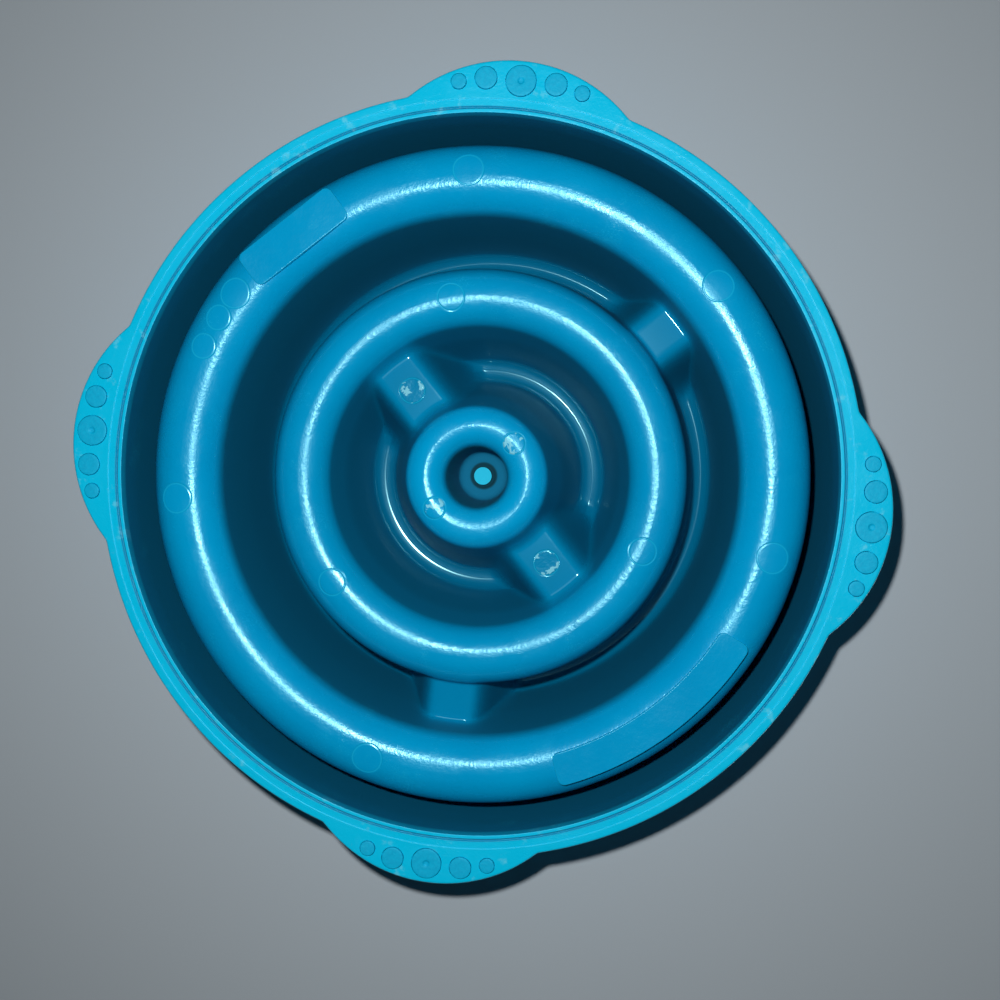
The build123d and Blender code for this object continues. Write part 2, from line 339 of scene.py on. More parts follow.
@dataclass(frozen=True)
class BowlPlan:
    """Sizes of the bowl in millimetres and degrees, the same as in the solid model."""

    height: float = 70.0
    wall: float = 2.5
    plug_proud: float = 0.5
    outer_channel_underside: float = 4.0
    middle_channel_rise: float = 8.0
    centre_channel_rise: float = 4.0
    ridge_drop: float = 3.0
    post_drop: float = 21.5
    post_radius: float = 9.4
    post_corner_radius: float = 2.5
    post_wall_run: float = 2.0
    centre_channel_width: float = 13.2
    inner_ridge_inner_run: float = 13.1
    inner_ridge_width: float = 8.0
    inner_ridge_outer_run: float = 10.6
    middle_channel_width: float = 18.6
    outer_ridge_inner_run: float = 6.0
    outer_ridge_width: float = 6.8
    outer_ridge_outer_run: float = 6.8
    outer_channel_width: float = 24.0
    rim_wall_run: float = 2.1
    rim_hollow_width: float = 4.2
    skirt_run: float = 1.9
    channel_flat: float = 0.6
    ridge_flat: float = 0.4
    notch_sill: float = 20.0
    notch_floor_half_width: float = 8.0
    notch_side_angle: float = 15.0
    notch_rounding: float = 5.0
    notch_rounding_below: float = 12.0
    outer_notch_azimuths: tuple[float, ...] = (90.0, 315.0)
    inner_notch_azimuths: tuple[float, ...] = (45.0, 225.0)
    flange_width: float = 7.7
    flange_thickness: float = 3.4
    flange_edge_radius: float = 0.8
    flange_cove_radius: float = 3.0
    tab_projection: float = 10.6
    tab_lobe_radius: float = 54.0
    tab_junction_blend: float = 0.4
    lip_width: float = 4.7
    lip_depth: float = 0.3
    lip_edge_radius: float = 0.2
    lip_groove_offset: float = 1.7
    lip_groove_width: float = 1.0
    lip_groove_depth: float = 0.5
    plug_edge_margin: float = 1.6
    plug_web: float = 2.75
    plug_head_depth: float = 1.2
    plug_neck_step: float = 1.1
    plug_top_depth: float = 0.9
    plug_top_proud: float = 0.3
    plug_top_step: float = 0.4
    plug_gap: float = 0.05

    @property
    def tab_face(self) -> float:
        """Height of the tabs' lower face."""
        return self.plug_proud

    @property
    def tab_top(self) -> float:
        """Height of the flange's upper face."""
        return self.tab_face + self.flange_thickness

    @property
    def rim_underside(self) -> float:
        """Height of the hollow below the rim."""
        return self.height - self.wall

    @property
    def ridge_underside(self) -> float:
        """Height of the hollows below the ridges."""
        return self.rim_underside - self.ridge_drop

    @property
    def post_underside(self) -> float:
        """Height of the hollow below the post."""
        return self.ridge_underside - self.post_drop

    @property
    def notch_floor(self) -> float:
        """Height of the notch floors on the feeding side."""
        return self.outer_channel_underside + self.wall + self.notch_sill

    @property
    def plug_levels(self) -> tuple[float, float]:
        """Heights of a plug's steps, below and above its neck."""
        return self.tab_face + self.plug_head_depth, self.tab_top - self.plug_top_depth

    @property
    def plan_radii(self) -> Array:
        """Radii of the underside's corners from the post outward."""
        return np.cumsum(
            (
                self.post_radius,
                self.post_wall_run,
                self.centre_channel_width,
                self.inner_ridge_inner_run,
                self.inner_ridge_width,
                self.inner_ridge_outer_run,
                self.middle_channel_width,
                self.outer_ridge_inner_run,
                self.outer_ridge_width,
                self.outer_ridge_outer_run,
                self.outer_channel_width,
                self.rim_wall_run,
                self.rim_hollow_width,
                self.skirt_run,
            )
        )

    @property
    def channel_middles(self) -> tuple[float, float, float]:
        """Middle radii of the centre, middle and outer channels, whose floors are four corners apart."""
        starts, ends = self.plan_radii[1:-4:4], self.plan_radii[2:-3:4]
        return tuple(float(middle) for middle in (starts + ends) / 2)

    @property
    def skirt_foot_radius(self) -> float:
        """Radius of the skirt's inner face at its foot."""
        return float(self.plan_radii[-1])

    @property
    def flange_radius(self) -> float:
        """Radius of the flange between the tabs."""
        return self.skirt_foot_radius + self.flange_width

    @property
    def lobe_centre(self) -> float:
        """Distance from the axis to the centre of a tab's round end."""
        return self.flange_radius + self.tab_projection - self.tab_lobe_radius

    @property
    def notches(self) -> tuple[Notch, ...]:
        """All notches: two through the outer ridge and two through the inner one."""
        centre, middle, outer = self.channel_middles
        through_outer = tuple(Notch(azimuth, middle, outer) for azimuth in self.outer_notch_azimuths)
        through_inner = tuple(Notch(azimuth, centre, middle) for azimuth in self.inner_notch_azimuths)
        return through_outer + through_inner

    def under_corners(self) -> tuple[Array, Array]:
        """Draws the underside's section.

        Formula: a floor or a crest is rounded all over, with the radius that leaves only its flat between
        two arcs, which is its width less the flat, over the sum of the tangents of half the turns.

        Returns:
            The corners from the axis to the skirt's foot, and the rounding of each inner corner.
        """
        outer, ridge = self.outer_channel_underside, self.ridge_underside
        middle, centre = outer + self.middle_channel_rise, outer + self.centre_channel_rise
        floors_and_crests = np.repeat((centre, ridge, middle, ridge, outer, self.rim_underside), 2)
        levels = (self.post_underside, *floors_and_crests, self.tab_face)
        corners = np.vstack(((0.0, self.post_underside), np.column_stack((self.plan_radii, levels))))
        steps = np.diff(corners, axis=0)
        angles = np.arctan2(steps[:, 1], steps[:, 0])
        half_tangents = np.tan(np.abs(np.diff(angles)) / 2)
        widths = np.linalg.norm(steps, axis=1)
        radii = [self.post_corner_radius]
        for first, flat in zip(range(2, len(widths), 2), cycle((self.channel_flat, self.ridge_flat))):
            radii += [(widths[first] - flat) / (half_tangents[first - 1] + half_tangents[first])] * 2
        return corners, np.array(radii)

    def skirt_outer_radius(self, height: float) -> float:
        """Returns the radius of the skirt's outer face at a height."""
        lean = self.skirt_run / (self.rim_underside - self.tab_face)
        return self.skirt_foot_radius + self.wall * math.hypot(1, lean) - lean * (height - self.tab_face)

    def plug_radii(self, kind: PlugKind) -> Array:
        """Returns the radii of a plug's head, neck and top pad."""
        return kind.value - np.array((0.0, self.plug_neck_step, self.plug_top_step))

    def notch_limit(self, x: Array, y: Array, grow: float, rounding: float) -> Array:
        """Returns the height above which the notches cut the ridges away.

        Formula: across a notch the limit is its floor, then a straight side at the notch's angle, joined by
        a smooth maximum and lowered by the growth square to each. There is no limit away from the notches.

        Args:
            x: Plan positions.
            y: Plan positions.
            grow: Distance by which the notches are grown, for the underside of their floors.
            rounding: Blend width between a notch's floor and its sides.

        Returns:
            Limit heights.
        """
        angle = math.radians(self.notch_side_angle)
        no_limit = 2 * self.height
        limit = np.full(x.shape, no_limit)
        for notch in self.notches:
            azimuth = math.radians(notch.azimuth)
            along = x * math.cos(azimuth) + y * math.sin(azimuth)
            across = np.abs(y * math.cos(azimuth) - x * math.sin(azimuth))
            rise = (across - self.notch_floor_half_width) / math.tan(angle) - grow / math.sin(angle)
            level = smooth_max(self.notch_floor - grow, self.notch_floor + rise, rounding)
            inside = (along > notch.start) & (along < notch.end)
            limit = np.where(inside, np.minimum(limit, level), limit)
        return limit

    def plug_places(self) -> list[tuple[str, PlugKind, Array]]:
        """Places the plugs along the round ends of the tabs.

        Formula: a plug's centre is its margin and radius inside the lobe's edge, and it steps round the
        lobe's centre by the angle at which two plugs leave the web between them, by the cosine rule.

        Returns:
            Each plug's node name, kind and centre in plan.
        """
        kinds = list(PlugKind)
        reach = [self.tab_lobe_radius - self.plug_edge_margin - kind.value for kind in kinds]
        angles = [0.0]
        for inner in range(len(kinds) - 1):
            near, far = reach[inner], reach[inner + 1]
            spacing = kinds[inner].value + self.plug_web + kinds[inner + 1].value
            angles.append(angles[-1] + math.acos((near**2 + far**2 - spacing**2) / (2 * near * far)))
        places = []
        for tab in Tab:
            turn = math.radians(tab.value)
            spin = np.array(((math.cos(turn), -math.sin(turn)), (math.sin(turn), math.cos(turn))))
            for kind, distance, angle in zip(kinds, reach, angles):
                sides = {"": 0.0} if kind is PlugKind.LARGE else {"_a": -angle, "_b": angle}
                for side, side_angle in sides.items():
                    along = self.lobe_centre + distance * math.cos(side_angle)
                    centre = spin @ np.array((along, distance * math.sin(side_angle)))
                    places.append((f"{tab.name.lower()}_{kind.name.lower()}_grip_plug{side}", kind, centre))
        return places

    def flange_outline(self, count: int) -> tuple[Array, Array]:
        """Draws the flange's outline with its four tabs.

        Formula: at each azimuth the outline is the smooth maximum of the flange's radius and of the distance
        to the tab's round end, which is the lobe's centre times the cosine plus the root of the lobe's
        radius squared less the centre times the sine squared.

        Args:
            count: Number of points.

        Returns:
            The outline in plan and its outward normals.
        """
        azimuths = full_turn(count)
        tab_spacing = 2 * math.pi / len(Tab)
        from_tab = (azimuths + tab_spacing / 2) % tab_spacing - tab_spacing / 2
        square = self.tab_lobe_radius**2 - (self.lobe_centre * np.sin(from_tab)) ** 2
        lobe = self.lobe_centre * np.cos(from_tab) + np.sqrt(np.maximum(square, 0.0))
        radius = smooth_max(np.full(count, self.flange_radius), lobe, self.tab_junction_blend)
        outline = np.column_stack((radius * np.cos(azimuths), radius * np.sin(azimuths)))
        return outline, right_normals(outline)


@dataclass(frozen=True)
class Pattern:
    """A noise pattern: its scale, detail and roughness, and the values between which its mask rises."""

    scale: float
    detail: float
    roughness: float
    low: float = 0.0
    high: float = 1.0


class NodeSheet:
    """Adds nodes to one node tree and links them."""

    def __init__(self, tree: bpy.types.NodeTree) -> None:
        """Starts from an empty tree."""
        self.tree = tree
        self.tree.nodes.clear()

    def add(self, kind: str, inputs: dict[str | int, Input], **settings: object) -> bpy.types.Node:
        """Adds a node.

        Args:
            kind: Node type.
            inputs: A source socket or a plain value for each named or numbered input.
            settings: Properties of the node, set before its inputs.

        Returns:
            The node.
        """
        node = self.tree.nodes.new(kind)
        for name, value in settings.items():
            setattr(node, name, value)
        for name, value in inputs.items():
            if isinstance(value, Socket):
                self.tree.links.new(value, node.inputs[name])
            else:
                node.inputs[name].default_value = value
        return node

    def math(self, operation: str, first: Input, second: Input = 0.0, clamp: bool = False) -> Socket:
        """Returns the result of a math operation on one or two values."""
        inputs = {0: first, 1: second}
        return self.add("ShaderNodeMath", inputs, operation=operation, use_clamp=clamp).outputs[0]

    def times(self, first: Input, second: Input) -> Socket:
        """Returns the product of two values."""
        return self.math("MULTIPLY", first, second)

    def most(self, first: Input, second: Input) -> Socket:
        """Returns the higher of two masks."""
        return self.math("MAXIMUM", first, second, clamp=True)

    def vector(self, operation: str, first: Input, second: Input = (0.0, 0.0, 0.0)) -> bpy.types.Node:
        """Adds a vector math operation on one or two vectors and returns its node."""
        return self.add("ShaderNodeVectorMath", {0: first, 1: second}, operation=operation)

    def flat(self, place: Socket) -> Socket:
        """Returns a position's plan part, with no height."""
        return self.vector("MULTIPLY", place, (1.0, 1.0, 0.0)).outputs[0]

    def length(self, vector: Socket) -> Socket:
        """Returns a vector's length."""
        return self.vector("LENGTH", vector).outputs["Value"]

    def span(self, value: Socket, low: float, high: float) -> Socket:
        """Returns a mask that rises smoothly from 0 at one value to 1 at another."""
        ends = {"Value": value, "From Min": low, "From Max": high}
        return self.add("ShaderNodeMapRange", ends, interpolation_type="SMOOTHSTEP").outputs["Result"]

    def noise(self, vector: Socket, pattern: Pattern) -> Socket:
        """Returns a pattern's noise value, around one half."""
        settings = {"Scale": pattern.scale, "Detail": pattern.detail, "Roughness": pattern.roughness}
        return self.add("ShaderNodeTexNoise", {"Vector": vector} | settings).outputs[0]

    def patches(self, vector: Socket, pattern: Pattern) -> Socket:
        """Returns a pattern's mask."""
        return self.span(self.noise(vector, pattern), pattern.low, pattern.high)

    def mix(self, kind: str, factor: Input, first: Input, second: Input) -> Socket:
        """Mixes two values, vectors or colours.

        Args:
            kind: Data type.
            factor: Share of the second input.
            first: First input.
            second: Second input.

        Returns:
            The mix.
        """
        start, end, result = MIX_SOCKETS[kind]
        node = self.add("ShaderNodeMix", {0: factor, start: first, end: second}, data_type=kind)
        return node.outputs[result]

    def blend(self, factor: Input, first: Input, second: Colour) -> Socket:
        """Blends colours.

        Args:
            factor: Share of the second colour.
            first: A colour or its socket.
            second: A colour.

        Returns:
            The colour between them.
        """
        start = first if isinstance(first, Socket) else (*first, 1.0)
        return self.mix("RGBA", factor, start, (*second, 1.0))

    def lerp(self, factor: Input, first: Input, second: Input) -> Socket:
        """Returns a value between two values."""
        return self.mix("FLOAT", factor, first, second)

    def bump(self, height: Socket) -> Socket:
        """Returns the normal of a surface with a height in metres."""
        return self.add("ShaderNodeBump", {"Height": height, "Strength": 1.0, "Distance": 1.0}).outputs[0]

    def surface(self, looks: dict[str, Input]) -> None:
        """Ends a material with a shader that has the given inputs."""
        shader = self.add("ShaderNodeBsdfPrincipled", looks)
        self.add("ShaderNodeOutputMaterial", {"Surface": shader.outputs[0]})

    def put_out(self, result: bpy.types.Node, values: dict[str, Socket]) -> None:
        """Links values to the named inputs of a group's output node."""
        for name, value in values.items():
            self.tree.links.new(value, result.inputs[name])


def node_group(
    name: str, inputs: dict[str, str], outputs: dict[str, str]
) -> tuple[NodeSheet, bpy.types.Node, bpy.types.Node]:
    """Starts a shader node group with named sockets.

    Args:
        name: Group name.
        inputs: Socket type of each input.
        outputs: Socket type of each output.

    Returns:
        The sheet to add nodes to, the group's input node and its output node.
    """
    tree = bpy.data.node_groups.new(name, "ShaderNodeTree")
    for direction, sockets in (("INPUT", inputs), ("OUTPUT", outputs)):
        for socket_name, socket_type in sockets.items():
            tree.interface.new_socket(socket_name, in_out=direction, socket_type=socket_type)
    sheet = NodeSheet(tree)
    return sheet, sheet.add("NodeGroupInput", {}), sheet.add("NodeGroupOutput", {})


def material_sheet(name: str) -> tuple[bpy.types.Material, NodeSheet]:
    """Starts a material.

    Args:
        name: Material name.

    Returns:
        The material and the sheet of its empty node tree.
    """
    material = bpy.data.materials.new(name)
    material.use_nodes = True
    return material, NodeSheet(material.node_tree)


@dataclass(frozen=True)
class WornMoulding:
    """Handling marks on moulded plastic: scuffed patches, short scratches inside them and a fine grain.

    The scratches' tilt and turns are in radians.
    """

    scuffed: Pattern = Pattern(scale=60.0, detail=5.0, roughness=0.62, low=0.5, high=0.74)
    scuffed_share: float = 0.55
    speckled: Pattern = Pattern(scale=1500.0, detail=3.0, roughness=0.6, low=0.48, high=0.72)
    speckled_least: float = 0.15
    grainy: Pattern = Pattern(scale=700.0, detail=4.0, roughness=0.6)
    scratched: Pattern = Pattern(scale=1.0, detail=2.0, roughness=0.5, low=0.66, high=0.72)
    scratch_tilt: tuple[float, float] = (0.2, 0.1)
    scratch_turns: tuple[float, ...] = (0.35, 1.45, 2.5)
    scratch_stretch: tuple[float, float, float] = (110.0, 1300.0, 110.0)

    def group(self) -> bpy.types.NodeTree:
        """Builds the node group of the marks.

        Formula: the wear level and the scuffed patches add up to a level, specks break it up into scuffs, and
        scratches are noise that is drawn out in three directions and kept to the level.

        Returns:
            The group, which turns a position and a wear level into masks and a grain value.
        """
        sheet, given, result = node_group(
            "worn_moulding",
            {"Vector": "NodeSocketVector", "Wear": "NodeSocketFloat"},
            {"Scuff": "NodeSocketFloat", "Scratch": "NodeSocketFloat", "Grain": "NodeSocketFloat"},
        )
        vector, wear = given.outputs["Vector"], given.outputs["Wear"]
        worn_patches = sheet.times(sheet.patches(vector, self.scuffed), self.scuffed_share)
        level = sheet.math("ADD", worn_patches, wear, clamp=True)
        specks = sheet.math("ADD", sheet.patches(vector, self.speckled), self.speckled_least)
        scuff = sheet.math("MULTIPLY", level, specks, clamp=True)
        scratches: Socket | None = None
        for turn in self.scratch_turns:
            drawn_out = {"Rotation": (*self.scratch_tilt, turn), "Scale": self.scratch_stretch}
            turned = sheet.add("ShaderNodeMapping", {"Vector": vector} | drawn_out).outputs[0]
            lines = sheet.patches(turned, self.scratched)
            scratches = lines if scratches is None else sheet.most(scratches, lines)
        masks = {"Scuff": scuff, "Scratch": sheet.times(scratches, level)}
        sheet.put_out(result, masks | {"Grain": sheet.noise(vector, self.grainy)})
        return sheet.tree


@dataclass(frozen=True)
class RadialStreaks:
    """Fine streaks that run outward from the bowl's axis, left by the mould's polish."""

    fineness: float = 420.0
    length_scale: float = 90.0
    streaked: Pattern = Pattern(scale=1.0, detail=3.0, roughness=0.65)

    def group(self) -> bpy.types.NodeTree:
        """Builds the node group of the streaks.

        Formula: noise over the direction from the axis, drawn out along the radius.

        Returns:
            The group, which turns a position into a streak value.
        """
        sheet, given, result = node_group(
            "radial_streaks", {"Vector": "NodeSocketVector"}, {"Streak": "NodeSocketFloat"}
        )
        flat = sheet.flat(given.outputs["Vector"])
        direction = sheet.vector("NORMALIZE", flat).outputs[0]
        around = sheet.vector("MULTIPLY", direction, (self.fineness, self.fineness, 0.0)).outputs[0]
        drawn_out = sheet.times(sheet.length(flat), self.length_scale)
        outward = sheet.add("ShaderNodeCombineXYZ", {"Z": drawn_out}).outputs[0]
        place = sheet.vector("ADD", around, outward).outputs[0]
        sheet.put_out(result, {"Streak": sheet.noise(place, self.streaked)})
        return sheet.tree


@dataclass(frozen=True)
class MarkRow:
    """Round moulding marks of one kind at one distance from the axis: their radius and azimuths."""

    kind: Mark
    reach: float
    radius: float
    azimuths: tuple[float, ...]

    def centres(self) -> list[tuple[float, float, float]]:
        """Returns the marks' plan positions in metres."""
        turns = [(math.cos(math.radians(angle)), math.sin(math.radians(angle))) for angle in self.azimuths]
        return [(self.reach * MM * cosine, self.reach * MM * sine, 0.0) for cosine, sine in turns]


@dataclass(frozen=True)
class RoundMarkEffect:
    """Disc and outline masks of a round mark, with the widths of their edges in metres."""

    edge: float = 0.00012
    line: float = 0.0005

    def group(self) -> bpy.types.NodeTree:
        """Builds the node group of one mark.

        Formula: the distance in plan from the centre, less the radius, gives a disc and a ring at its edge.

        Returns:
            The group, which turns a position, a centre and a radius into two masks.
        """
        sheet, given, result = node_group(
            "round_mark",
            {"Vector": "NodeSocketVector", "Centre": "NodeSocketVector", "Radius": "NodeSocketFloat"},
            {"Disc": "NodeSocketFloat", "Outline": "NodeSocketFloat"},
        )
        flat = sheet.flat(given.outputs["Vector"])
        gap = sheet.vector("DISTANCE", flat, given.outputs["Centre"]).outputs["Value"]
        past_edge = sheet.math("SUBTRACT", gap, given.outputs["Radius"])
        disc = sheet.span(past_edge, self.edge, -self.edge)
        ring = sheet.span(sheet.math("ABSOLUTE", past_edge), self.line, 0.0)
        sheet.put_out(result, {"Disc": disc, "Outline": ring})
        return sheet.tree


@dataclass(frozen=True)
class Effects:
    """Node groups that the finishes share."""

    worn: bpy.types.NodeTree
    streaks: bpy.types.NodeTree
    mark: bpy.types.NodeTree


@dataclass(frozen=True)
class ShellMasks:
    """Sockets that say where the shell's finish changes, and the position and radius they come from."""

    place: Socket
    radius: Socket
    wear: Socket
    # Where shade is painted, rising with height in the underside's hollows.
    painted_depth_shade: Socket
    sheltered: Socket
    exposed: Socket
    upright: Socket
    foot: Socket
    groove: Socket
    scuff: Socket
    scratch: Socket
    grain: Socket
    streak: Socket
    tear: Socket
    outlines: Socket
    discs: dict[Mark, Socket]


@dataclass(frozen=True)
class ShellPlastic:
    """Glossy teal moulded plastic, paler on the foot, with scuffs and mould marks, and with painted shade
    in its hollows, on its upright walls, in the lip's groove and in the post's well, and painted highlights.

    Heights, radii and blends are in millimetres, and reliefs in metres. A pair of values is where a mask
    starts and where it is full, and the groove's pair is in half widths of the groove. The streaks' relief
    is a share of the radius, because streaks lie further apart away from the axis.
    """

    teal: Colour = (0.0, 0.345, 0.660)
    deep_teal: Colour = (0.0, 0.315, 0.620)
    # Painted shade: the darker teal of the underside's deep hollows and upright walls.
    painted_shade_teal: Colour = (0.0, 0.140, 0.270)
    foot_teal: Colour = (0.0, 0.56, 0.86)
    # Painted shade in the lip's groove.
    painted_groove_shade_teal: Colour = (0.0, 0.27, 0.50)
    # Painted shade on the post's roof around the gate stub.
    painted_well_shade_teal: Colour = (0.0, 0.035, 0.06)
    # The gate stub's cut face: pale partly as a rough cut and partly as a painted highlight.
    cut_face_and_highlight_teal: Colour = (0.02, 0.55, 0.80)
    # Also the colour of rubbed edges and mark outlines, which is partly wear and partly painted highlight
    # lines.
    scuff_colour: Colour = (0.02, 0.62, 0.88)
    # Painted glints in the torn discs, and pale foot smears that are partly scuffs and partly painted sheen.
    glint_and_smear_colour: Colour = (0.35, 0.84, 0.92)
    polished_roughness: float = 0.19
    satin_roughness: float = 0.31
    sheltered_roughness: float = 0.14
    scuffed_roughness: float = 0.50
    hollow_roughness: float = 0.60
    post_roughness: float = 0.90
    specular: float = 0.60
    specular_tint: Colour = (0.42, 0.94, 1.0)
    # Heights over which the painted shade of the underside's hollows deepens.
    painted_shade_heights: tuple[float, float] = (6.0, 40.0)
    shelter_heights: tuple[float, float] = (13.0, 20.0)
    upright_steepness: tuple[float, float] = (0.35, 0.95)
    # Wear levels at which edges are painted pale: partly wear, partly painted highlight lines.
    rubbed_and_glint_wear: tuple[float, float] = (0.3, 0.6)
    # Wear at which the cut face is painted pale, partly as a painted highlight.
    cut_and_highlight_wear: tuple[float, float] = (0.8, 1.0)
    groove_reach: tuple[float, float] = (1.5, 0.8)
    foot_blend: float = 0.4
    foot_top_blend: float = 1.5
    foot_dullness: float = 0.22
    well_radius: float = 5.2
    well_blend: float = 0.4
    mottled: Pattern = Pattern(scale=28.0, detail=4.0, roughness=0.6, low=0.3, high=0.7)
    satin: Pattern = Pattern(scale=45.0, detail=4.0, roughness=0.65, low=0.35, high=0.65)
    # Noise of the torn marks: their relief, and above its low value the painted glints.
    torn: Pattern = Pattern(scale=300.0, detail=3.0, roughness=0.55, low=0.57, high=0.61)
    # Pale smears on the foot: partly scuffs, partly painted sheen.
    smear_and_sheen_pattern: Pattern = Pattern(scale=130.0, detail=5.0, roughness=0.66, low=0.59, high=0.70)
    scuff_share: float = 0.4
    scratch_share: float = 0.3
    # Gain and share of the pale paint on edges and mark outlines, partly painted highlight lines.
    rubbed_and_glint_gain: float = 2.0
    rubbed_and_glint_share: float = 0.3
    # Shares of the painted glints in torn discs and of the foot smears, partly scuffs and partly painted
    # sheen.
    glint_flake_share: float = 0.6
    smear_and_sheen_share: float = 0.25
    flat_levelling: float = 0.5
    contoured_levelling: float = 0.2
    grain_relief: float = 0.00009
    streak_relief: float = 0.00018
    tear_relief: float = 0.00016
    scuff_relief: float = -0.00005
    scratch_relief: float = -0.00004
    outline_relief: float = -0.00016
    mark_rows: tuple[MarkRow, ...] = (
        MarkRow(Mark.FLAT, reach=107.9, radius=5.3, azimuths=(8.0, 104.0, 169.0, 210.5, 262.0, 315.0)),
        MarkRow(Mark.FLAT, reach=108.0, radius=4.4, azimuths=(198.8, 204.9)),
        MarkRow(Mark.CONTOURED, reach=65.2, radius=4.8, azimuths=(17.0, 137.0, 255.0)),
        MarkRow(Mark.TORN, reach=18.4, radius=3.9, azimuths=(136.0, 312.0)),
        MarkRow(Mark.TORN, reach=40.3, radius=4.6, azimuths=(45.0, 225.0)),
    )

    def mark_masks(
        self, sheet: NodeSheet, place: Socket, mark: bpy.types.NodeTree
    ) -> tuple[dict[Mark, Socket], Socket]:
        """Adds every round mark to a node sheet.

        Args:
            sheet: Sheet to add to.
            place: Object position.
            mark: Node group of one round mark.

        Returns:
            A mask of the discs of each kind, and a mask of all outlines.
        """
        discs: dict[Mark, Socket] = {}
        outlines: Socket | None = None
        for row in self.mark_rows:
            for centre in row.centres():
                inputs = {"Vector": place, "Centre": centre, "Radius": row.radius * MM}
                spot = sheet.add("ShaderNodeGroup", inputs, node_tree=mark)
                ring, disc = spot.outputs["Outline"], spot.outputs["Disc"]
                outlines = ring if outlines is None else sheet.most(outlines, ring)
                before = discs.get(row.kind)
                discs[row.kind] = disc if before is None else sheet.most(before, disc)
        return discs, outlines

    def foot_masks(
        self, sheet: NodeSheet, radius: Socket, height: Socket, plan: BowlPlan
    ) -> tuple[Socket, Socket]:
        """Adds the masks of the foot.

        Args:
            sheet: Sheet to add to.
            radius: Distance from the axis.
            height: Height above the floor.
            plan: Sizes of the bowl.

        Returns:
            A mask of the foot flange and a mask of the groove in its lip, where shade is painted.
        """
        skirt_foot, blend = plan.skirt_foot_radius, self.foot_blend
        beyond_skirt = sheet.span(radius, (skirt_foot - blend) * MM, (skirt_foot + blend) * MM)
        below_top = sheet.span(height, (plan.tab_top + self.foot_top_blend) * MM, plan.tab_top * MM)
        foot = sheet.times(beyond_skirt, below_top)
        groove_middle = (skirt_foot + plan.lip_groove_offset) * MM
        from_groove = sheet.math("ABSOLUTE", sheet.math("SUBTRACT", radius, groove_middle))
        edges = (reach * plan.lip_groove_width / 2 * MM for reach in self.groove_reach)
        return foot, sheet.times(sheet.span(from_groove, *edges), foot)

    def masks(self, sheet: NodeSheet, effects: Effects, plan: BowlPlan) -> ShellMasks:
        """Adds the masks of the shell's finish.

        Args:
            sheet: Sheet to add to.
            effects: Shared node groups.
            plan: Sizes of the bowl.

        Returns:
            The masks.
        """
        place = sheet.add("ShaderNodeTexCoord", {}).outputs["Object"]
        height = sheet.add("ShaderNodeSeparateXYZ", {0: place}).outputs["Z"]
        radius = sheet.length(sheet.flat(place))
        wear, under, steep = (
            sheet.add("ShaderNodeAttribute", {}, attribute_name=name).outputs["Fac"] for name in LEVEL_NAMES
        )
        # Painted shade that deepens with height in the underside's hollows, and the shelter from handling.
        painted_depth_shade, sheltered = (
            sheet.times(sheet.span(height, low * MM, high * MM), under)
            for low, high in (self.painted_shade_heights, self.shelter_heights)
        )
        exposed = sheet.math("SUBTRACT", 1.0, sheltered)
        handling = sheet.add("ShaderNodeGroup", {"Vector": place, "Wear": wear}, node_tree=effects.worn)
        scuff, scratch, grain = (
            sheet.times(handling.outputs[name], exposed) for name in ("Scuff", "Scratch", "Grain")
        )
        polish = sheet.add("ShaderNodeGroup", {"Vector": place}, node_tree=effects.streaks)
        discs, outlines = self.mark_masks(sheet, place, effects.mark)
        foot, groove = self.foot_masks(sheet, radius, height, plan)
        return ShellMasks(
            place=place,
            radius=radius,
            wear=wear,
            painted_depth_shade=painted_depth_shade,
            sheltered=sheltered,
            exposed=exposed,
            upright=sheet.times(sheet.span(steep, *self.upright_steepness), under),
            foot=foot,
            groove=groove,
            scuff=scuff,
            scratch=scratch,
            grain=grain,
            streak=polish.outputs["Streak"],
            tear=sheet.noise(place, self.torn),
            outlines=sheet.times(outlines, under),
            discs={kind: sheet.times(disc, under) for kind, disc in discs.items()},
        )

    def colour(self, sheet: NodeSheet, masks: ShellMasks) -> Socket:
        """Layers the colour from the plain plastic to its marks and cuts, with painted shade and highlights.

        Args:
            sheet: Sheet to add to.
            masks: Masks of the finish.

        Returns:
            The colour.
        """
        # Painted glints: pale flakes in the torn discs; pale foot smears, partly scuffs and partly painted
        # sheen.
        glint_flakes = sheet.times(sheet.span(masks.tear, self.torn.low, self.torn.high), masks.discs[Mark.TORN])
        smears_and_sheen = sheet.times(sheet.patches(masks.place, self.smear_and_sheen_pattern), masks.foot)
        glints_and_smears = sheet.most(sheet.times(glint_flakes, self.glint_flake_share), sheet.times(smears_and_sheen, self.smear_and_sheen_share))
        # Rubbed edges and mark outlines painted pale: partly wear, partly painted highlight lines.
        worn_and_glinting_edges = sheet.times(sheet.span(masks.wear, *self.rubbed_and_glint_wear), self.rubbed_and_glint_gain)
        rubbed_and_glinting = sheet.times(sheet.most(masks.outlines, worn_and_glinting_edges), self.rubbed_and_glint_share)
        handled = sheet.most(
            sheet.times(masks.scuff, self.scuff_share), sheet.times(masks.scratch, self.scratch_share)
        )
